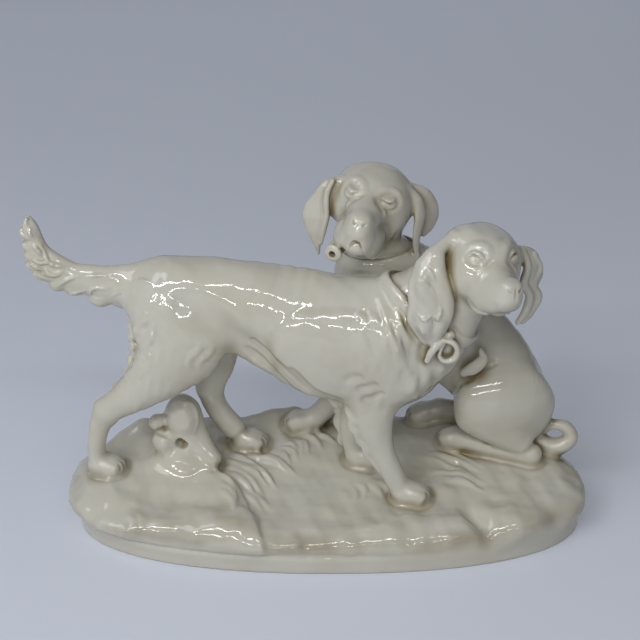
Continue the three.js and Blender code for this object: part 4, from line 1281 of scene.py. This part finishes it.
def sculptHoundHead():
    name = "hound_head"

    def put(form, blend):
        hound.add(name, form, blend)

    put(ellipsoid((-6, 0, 3), (24, 29.5, 22), pose=houndHead), 8)  # skull
    for side in (-1, 1):
        put(ellipsoid((8, side * 10, 8.5), (12, 12, 10.5), pose=houndHead), 9)  # forehead
        put(ellipsoid((2, side * 18, -7), (15, 9, 14), pose=houndHead), 9)  # cheek
    put(tube([(8, 0, -1, 16, 17), (23, 0, 1, 13, 14.6), (34, 0, 0.4, 11.8, 12.4), (42, 0, -1.4, 10.6, 10.6)],
             steps=10, pose=houndHead), 8)  # muzzle
    put(tube([(8, 0, -21, 11, 7), (22, 0, -22, 9, 5), (34, 0, -19, 8, 5.2), (39, 0, -15.5, 6.4, 6.6)],
             pose=houndHead), 4)  # jaw
    for side in (-1, 1):
        put(tube([
            (42.5, side * 7, -8.5, 5.6, 7.8), (37, side * 11, -12, 5.4, 10.4),
            (27, side * 12.8, -15.5, 4.8, 10.6), (18, side * 13, -14, 3.8, 8),
        ], pose=houndHead), 4.5)  # hanging flew
    put(tube([(-8, 0, -16, 17, 11), (6, 0, -20, 13, 8)], pose=houndHead), 8)  # throat
    put(ellipsoid((6, 0, 8.5), (11, 8, 10), pose=houndHead), 9)  # middle of the brow
    for side in (-1, 1):
        eye(hound, name, houndHead, side, houndSizes["eye"], houndSizes["lid"])
    nose(hound, name, houndHead, *houndSizes["nose"])
    # chin, and the lips parted over it
    lip = drape(hound, [houndSizes["chin"]], houndFace)[0]
    chin = houndFace.facing(houndFace.axes.T @ (lip - houndFace.at), 0, 0)
    put(ellipsoid((-9.2, 0.5, -3.4), (8.6, 9, 6.2), pose=chin), 3.5)
    fold(hound, houndSizes["mouth"], houndFace, *houndSizes["mouthLine"])
    fold(hound, houndSizes["flewEdge"], houndFace, *houndSizes["flewLine"])


def sculptHoundEars():
    right, left = "hound_right_ear", "hound_left_ear"
    face = (-0.25, -0.96, 0.1)
    hound.add(right, tube([
        (5, 24, 256, 3.8, 4), (-4, 23, 253, 3.4, 5), (-9.5, 22, 245, 3.2, 6), (-14, 21.5, 234, 3, 8.8),
        (-14.3, 21.5, 226, 2.8, 7.8), (-13, 21.5, 215, 2.4, 4.8), (-11.6, 21.5, 206, 2, 2.4),
        (-11, 21.5, 202, 1.6, 1.6),
    ], side=face), 3)  # flap
    hound.add(right, ellipsoid((0, 24, 243), (7, 4.5, 13), (0, 10, 0)), 4)  # web to the cheek
    hound.add(right, tube([
        (-1.5, 19, 257.5, 2.2, 2.2), (-5, 17.5, 250, 2.5, 2.4), (-5.8, 17.5, 241, 2.4, 2.4),
        (-5.4, 18, 232, 2.2, 2.2), (-7.2, 19, 221.4, 1.9, 1.9), (-9, 20, 211, 1.5, 1.5),
    ], side=face), 2)  # folded front rim
    out = (0.62, -0.75, 0.2)
    hound.add(left, tube([
        (51, 24, 248, 4, 5), (58, 21.5, 242, 3.4, 5.2), (60.5, 20.5, 232, 3, 5.2), (59, 20.5, 219, 2.6, 4.2),
        (58.5, 20.5, 208, 2, 2.6), (59.5, 21, 201, 1.6, 1.6),
    ], side=out), 3)  # folded edge
    hound.add(left, tube([
        (53, 30, 248, 3.6, 5), (62, 32, 241, 3.2, 8), (66.5, 34, 231, 3, 9), (66.5, 34, 222, 2.8, 7.5),
        (63, 32, 214, 2.2, 4),
    ], side=(0.35, -0.92, 0.2)), 2.5)  # flap behind the folded edge


def sculptHoundSmall():
    # collar, felt for on the bare neck first, and the end of a strap on the flank
    bands = []
    for share in np.linspace(0, 1, houndSizes["collarRows"]):
        centre = (*houndSizes["collarMiddle"], mixed(*houndSizes["collarHeights"], share))
        standOff = mixed(*houndSizes["collarOff"], share)
        bands.append(bandRound(hound, centre, houndSizes["collar"], standOff))
    for band in bands:
        hound.add("hound_collar", band, 1.2)
    strap = [
        (94, -4.5, 119.5, 2.4, 3.4), (100, -6.5, 124, 2.8, 4.6), (106, -6.5, 129, 2.6, 4.4),
        (107.5, -6, 133, 2.2, 3), (105.5, -5.5, 138.5, 1.4, 1.5),
    ]
    hound.add("lead_end", tube(strap), 1.0)


def sculptStick():
    # rolled end in the mouth, bored through its face
    name = "retrieved_stick"
    up = (0, 0, 1)
    roll = tube([(9, 2, 219.5, 5, 5), (3, -4, 218, 5.8, 5.8), (0.5, -8, 217, 6, 6)], side=up)
    hound.add(name, roll, 1.0)
    hound.add(name, ellipsoid((-0.8, -11.5, 216), (6.6, 3, 6.6), (0, 0, -20)), 1.0)  # thicker rim
    hound.cut(tube([(0, -9, 216.2, 1.9, 1.9), (-5, -22, 214, 1.9, 1.9)], side=up), 0.8)  # bore


def sculptHoundCreases():
    # edge of the thigh over the belly
    fold(hound, houndSizes["thighEdge"], nearSide, *houndSizes["thighLine"])


sculptHoundBody()
sculptHoundSmall()
for node, heel in houndSizes["hindlegs"].items():
    sculptHoundHindleg(node, *heel)
for node, foot in houndSizes["forelegs"].items():
    sculptHoundForeleg(node, *foot)
sculptHoundCreases()
sculptHoundTail()
sculptHoundHead()
sculptStick()
sculptHoundEars()
standOnRock(hound)
print("hound sculpted:", len(hound.forms), "forms")


# Stump: a broken trunk with a rounded top, a cut branch and a knot hole
stumpSizes = {
    "middle": -113,  # x about which the bark's ribs are set
    "ribs": 6,
    "ribHeight": 0.35,
    "ribWander": (34, 61, 1.6),  # size, seed, height
    "ribWindow": (0, 74, 4),  # from, to and fade up the trunk
    "swell": [(14, 62, 0.3)],
    "rim": [(-125, 89), (-121, 96), (-113, 98.5), (-104, 96), (-100.5, 90), (-100, 82), (-102, 74)],
    "rimLine": (1.5, 1.0, 1.5),  # width, rise, blend
    "knots": [(-112.5, 67, 3.4), (-109.5, 65.5, 2.6)],  # x, z, half size
    "knotFlat": 0.85,
    "voxel": 0.8,
}


def stumpRelief(points):
    angle = np.arctan2(points[:, 1], points[:, 0] - stumpSizes["middle"])
    ribs = np.sin(angle * stumpSizes["ribs"] + swell(points, [stumpSizes["ribWander"]]))
    bark = ribs * window(points[:, 2], *stumpSizes["ribWindow"])
    return (stumpSizes["ribHeight"] * bark + swell(points, stumpSizes["swell"])) * clearOfRock(points)


stump = Sculpture(stumpRelief)


def sculptStump():
    name = "tree_stump"
    stump.add(name, tube([
        (-112, 0, 42, 25, 26), (-112, 0, 57, 18.5, 19), (-112, 0, 71, 15, 15), (-111.5, 0, 82, 13.5, 13.5),
    ], steps=8), 4)  # trunk
    stump.add(name, ellipsoid((-111, -4, 83.5), (13.5, 13.5, 17), (0, -8, 0)), 3)  # rounded top
    branch = [(-121, -5, 81, 5.4, 5.4), (-126, -7, 81, 4.8, 4.8), (-130, -8, 80.5, 6, 6)]
    stump.add(name, tube(branch, side=(0, 0, 1)), 2)
    stump.add(name, ellipsoid((-125, -11, 66), (8.5, 7.5, 9.5)), 4)  # swelling below the branch
    root = [(-103, -3, 78, 5, 5), (-98, -6, 66, 5.6, 6), (-90, -11, 52, 7, 7)]
    stump.add(name, tube(root), 7)
    stump.cut(ellipsoid((-112.5, -25, 88), (10, 9.4, 12)), 2.5)  # broken face
    ridge(stump, name, stumpSizes["rim"], nearSide, *stumpSizes["rimLine"])
    for x, z, size in stumpSizes["knots"]:
        stump.cut(ellipsoid((x, -17, z), (size, 9, size * stumpSizes["knotFlat"])), 1.6)  # knot hole
    groove = [(-129, -14, 75, 1.2, 1.2), (-121, -17, 73, 1.8, 1.8), (-115, -18, 68, 1.6, 1.6)]
    stump.cut(tube(groove), 2.0)  # from the branch to the knot hole


sculptStump()
standOnRock(stump)
print("stump sculpted:", len(stump.forms), "forms")


# Material: porcelain, slip-cast and dipped in clear gloss glaze
def linear(hexColour):
    values = [int(hexColour[i:i + 2], 16) / 255 for i in (1, 3, 5)]
    return tuple(v / 12.92 if v <= 0.04045 else ((v + 0.055) / 1.055) ** 2.4 for v in values) + (1.0,)


def addNode(tree, kind, settings=None, links=None):
    # adds a node, sets its values, and links sockets given as (node, output)
    node = tree.nodes.new(kind)
    for key, value in (settings or {}).items():
        if isinstance(key, str) and hasattr(node, key):
            setattr(node, key, value)
        else:
            node.inputs[key].default_value = value
    for key, (source, output) in (links or {}).items():
        tree.links.new(source.outputs[output], node.inputs[key])
    return node


porcelain = {
    "body": "#C1BEB1",  # cream where the glaze is thin
    "warm": "#B8B2A0",  # drifts of thicker glaze
    "poolAndShade": "#75653A",  # ochre where glaze runs together, and painted shade in gaps and where feet meet the rock
    "roughness": 0.06,
    "ior": 1.52,
    "drift": {"Scale": 1000 / 45, "Detail": 3.0, "Roughness": 0.5},  # drifts 45 mm apart
    "driftShare": {"From Min": 0.38, "From Max": 0.7, "To Min": 0.0, "To Max": 0.6},
    "poolAndShadeShare": {"From Min": 0.12, "From Max": 0.7, "To Min": 0.0, "To Max": 0.85},
    "ripple": {"Scale": 1000 / 6, "Detail": 2.0},  # left by dipping, 6 mm apart
    "bump": {"Strength": 0.2, "Distance": 0.0004},
}


def glazedPorcelain():
    # cream china under a wet-looking glaze: clear reflections, ochre glaze pooling with painted shade in the
    # hollows, a faint ripple
    material = bpy.data.materials.new("porcelain_dip_glazed")
    material.use_nodes = True
    tree = material.node_tree
    shader = tree.nodes["Principled BSDF"]
    coords = addNode(tree, "ShaderNodeTexCoord")
    drift = addNode(tree, "ShaderNodeTexNoise", porcelain["drift"], {"Vector": (coords, "Object")})
    driftShare = addNode(tree, "ShaderNodeMapRange", porcelain["driftShare"], {"Value": (drift, "Fac")})
    creams = {"data_type": "RGBA", 6: linear(porcelain["body"]), 7: linear(porcelain["warm"])}
    cream = addNode(tree, "ShaderNodeMix", creams, {"Factor": (driftShare, "Result")})
    # painted shade: this value darkens gaps between pieces and contacts with the rock, as well as where glaze
    # pools
    poolAndShade = addNode(tree, "ShaderNodeAttribute", {"attribute_name": "glazePoolAndShade"})
    poolAndShadeShare = addNode(tree, "ShaderNodeMapRange", porcelain["poolAndShadeShare"], {"Value": (poolAndShade, "Fac")})
    colour = addNode(tree, "ShaderNodeMix", {"data_type": "RGBA", 7: linear(porcelain["poolAndShade"])},
                     {"Factor": (poolAndShadeShare, "Result"), 6: (cream, 2)})
    tree.links.new(colour.outputs[2], shader.inputs["Base Color"])
    ripple = addNode(tree, "ShaderNodeTexNoise", porcelain["ripple"], {"Vector": (coords, "Object")})
    bump = addNode(tree, "ShaderNodeBump", porcelain["bump"], {"Height": (ripple, "Fac")})
    tree.links.new(bump.outputs["Normal"], shader.inputs["Normal"])
    shader.inputs["Roughness"].default_value = porcelain["roughness"]
    shader.inputs["IOR"].default_value = porcelain["ior"]
    return material


glaze = glazedPorcelain()


# Castings: each piece is skinned at its own fineness
def makeCastings():
    jobs = [(setter, node, voxel) for node, voxel in setterSizes["voxels"].items()]
    jobs += [(hound, node, voxel) for node, voxel in houndSizes["voxels"].items()]
    jobs.append((stump, "tree_stump", stumpSizes["voxel"]))
    jobs.append((None, "base", base["voxel"]))
    coarser = 1.0

    def clearOf(group):
        return lambda points: group.measure(points)[0]

    def skin(job):
        group, node, voxel = job
        if group is None:
            low = np.array([*turf["low"], base["boxLow"]])
            high = np.array([*turf["high"], base["boxHigh"]])
            return skinField(baseField, low, high, voxel * coarser)
        return skinPiece(group, node, voxel * coarser)

    with ThreadPoolExecutor(skins["workers"]) as workers:
        surfaces = list(workers.map(skin, jobs))
    for (group, node, _), (points, quads) in zip(jobs, surfaces):
        mesh = buildMesh(node, points, quads)
        # the base is also felt against the figures and the stump, so painted shade darkens it around their
        # feet
        fields = [clearOf(group)] if group else [baseField] + [clearOf(g) for g in (setter, hound, stump)]
        finishPiece(node, mesh, glaze, poolAndShadeOf(mesh, points, fields))
        print("casting", node, len(quads), "quads")


makeCastings()


# Floor and light: pale floor, soft room, a row of panels that the glaze reflects
studio = {
    "floor": "#BFC3CC",
    "floorHalf": 8,  # metres
    "floorRoughness": 0.8,
    "world": "#CBD1DC",
    "worldStrength": 0.18,
    "glow": 0.2,  # of the floor, seen directly or in the glaze
    "fall": 0.72,  # the lamps weaken to the right
    "rows": [  # strip lamps over the viewer, whose glints lie along the crests
        {"count": 6, "from": -1.15, "to": 0.6, "y": -1.2, "z": 1.25, "size": (0.26, 0.1), "power": 3.4},
        {"count": 5, "from": -0.9, "to": 0.5, "y": -1.35, "z": 0.55, "size": (0.2, 0.07), "power": 1.6},
    ],
    "rowAim": (0.2, 0.12),  # share of a lamp's own x, and height
    "rowColour": "#FFFFFF",
    "lamps": [  # name, place, aim, size, power, colour
        ("key", (-1.3, -0.8, 1.6), (0, 0, 0.1), (1.0, 1.0), 10, "#EEF3FF"),
        ("back", (-0.3, 2.0, 0.95), (0, 0, 0.12), (3.2, 1.6), 5.5, "#EEF3FF"),
        ("fill", (1.6, -0.5, 0.8), (0, 0, 0.1), (0.8, 0.8), 0.4, "#FFE6C8"),
    ],
}


def addFloor():
    mesh = bpy.data.meshes.new("floor")
    half = studio["floorHalf"]
    corners = [(-half, -half, 0), (half, -half, 0), (half, half, 0), (-half, half, 0)]
    mesh.from_pydata(corners, [], [(0, 1, 2, 3)])
    floor = bpy.data.objects.new("floor", mesh)
    bpy.context.scene.collection.objects.link(floor)
    material = bpy.data.materials.new("paper_matt")  # even and dull, with no reflection of its own
    material.use_nodes = True
    tree = material.node_tree
    shader = tree.nodes["Principled BSDF"]
    shader.inputs["Base Color"].default_value = linear(studio["floor"])
    shader.inputs["Roughness"].default_value = studio["floorRoughness"]
    shader.inputs["Emission Color"].default_value = linear(studio["world"])
    ray = addNode(tree, "ShaderNodeLightPath")
    seen = addNode(tree, "ShaderNodeMath", {"operation": "MAXIMUM"},
                   {0: (ray, "Is Camera Ray"), 1: (ray, "Is Glossy Ray")})
    glow = addNode(tree, "ShaderNodeMath", {"operation": "MULTIPLY", 1: studio["glow"]}, {0: (seen, 0)})
    tree.links.new(glow.outputs[0], shader.inputs["Emission Strength"])
    mesh.materials.append(material)


def addLamp(name, at, aim, size, power, colour):
    data = bpy.data.lights.new(name, "AREA")
    data.shape = "RECTANGLE"
    data.size, data.size_y = size
    data.energy = power
    data.color = linear(colour)[:3]
    lamp = bpy.data.objects.new(name, data)
    lamp.location = at
    lamp.rotation_euler = (Vector(aim) - Vector(at)).to_track_quat("-Z", "Y").to_euler()
    bpy.context.scene.collection.objects.link(lamp)


def addLight():
    world = bpy.data.worlds.new("room")
    bpy.context.scene.world = world
    world.use_nodes = True
    back = world.node_tree.nodes["Background"]
    back.inputs["Color"].default_value = linear(studio["world"])
    back.inputs["Strength"].default_value = studio["worldStrength"]
    for row in studio["rows"]:
        for share in np.linspace(0, 1, row["count"]):
            x = mixed(row["from"], row["to"], share)
            power = row["power"] * (1 - studio["fall"] * share)
            aim = (studio["rowAim"][0] * x, 0, studio["rowAim"][1])
            addLamp("panel", (x, row["y"], row["z"]), aim, row["size"], power, studio["rowColour"])
    for lamp in studio["lamps"]:
        addLamp(*lamp)


addFloor()
addLight()
print("floor and light set")
bpy.context.scene.view_settings.view_transform = "Standard"
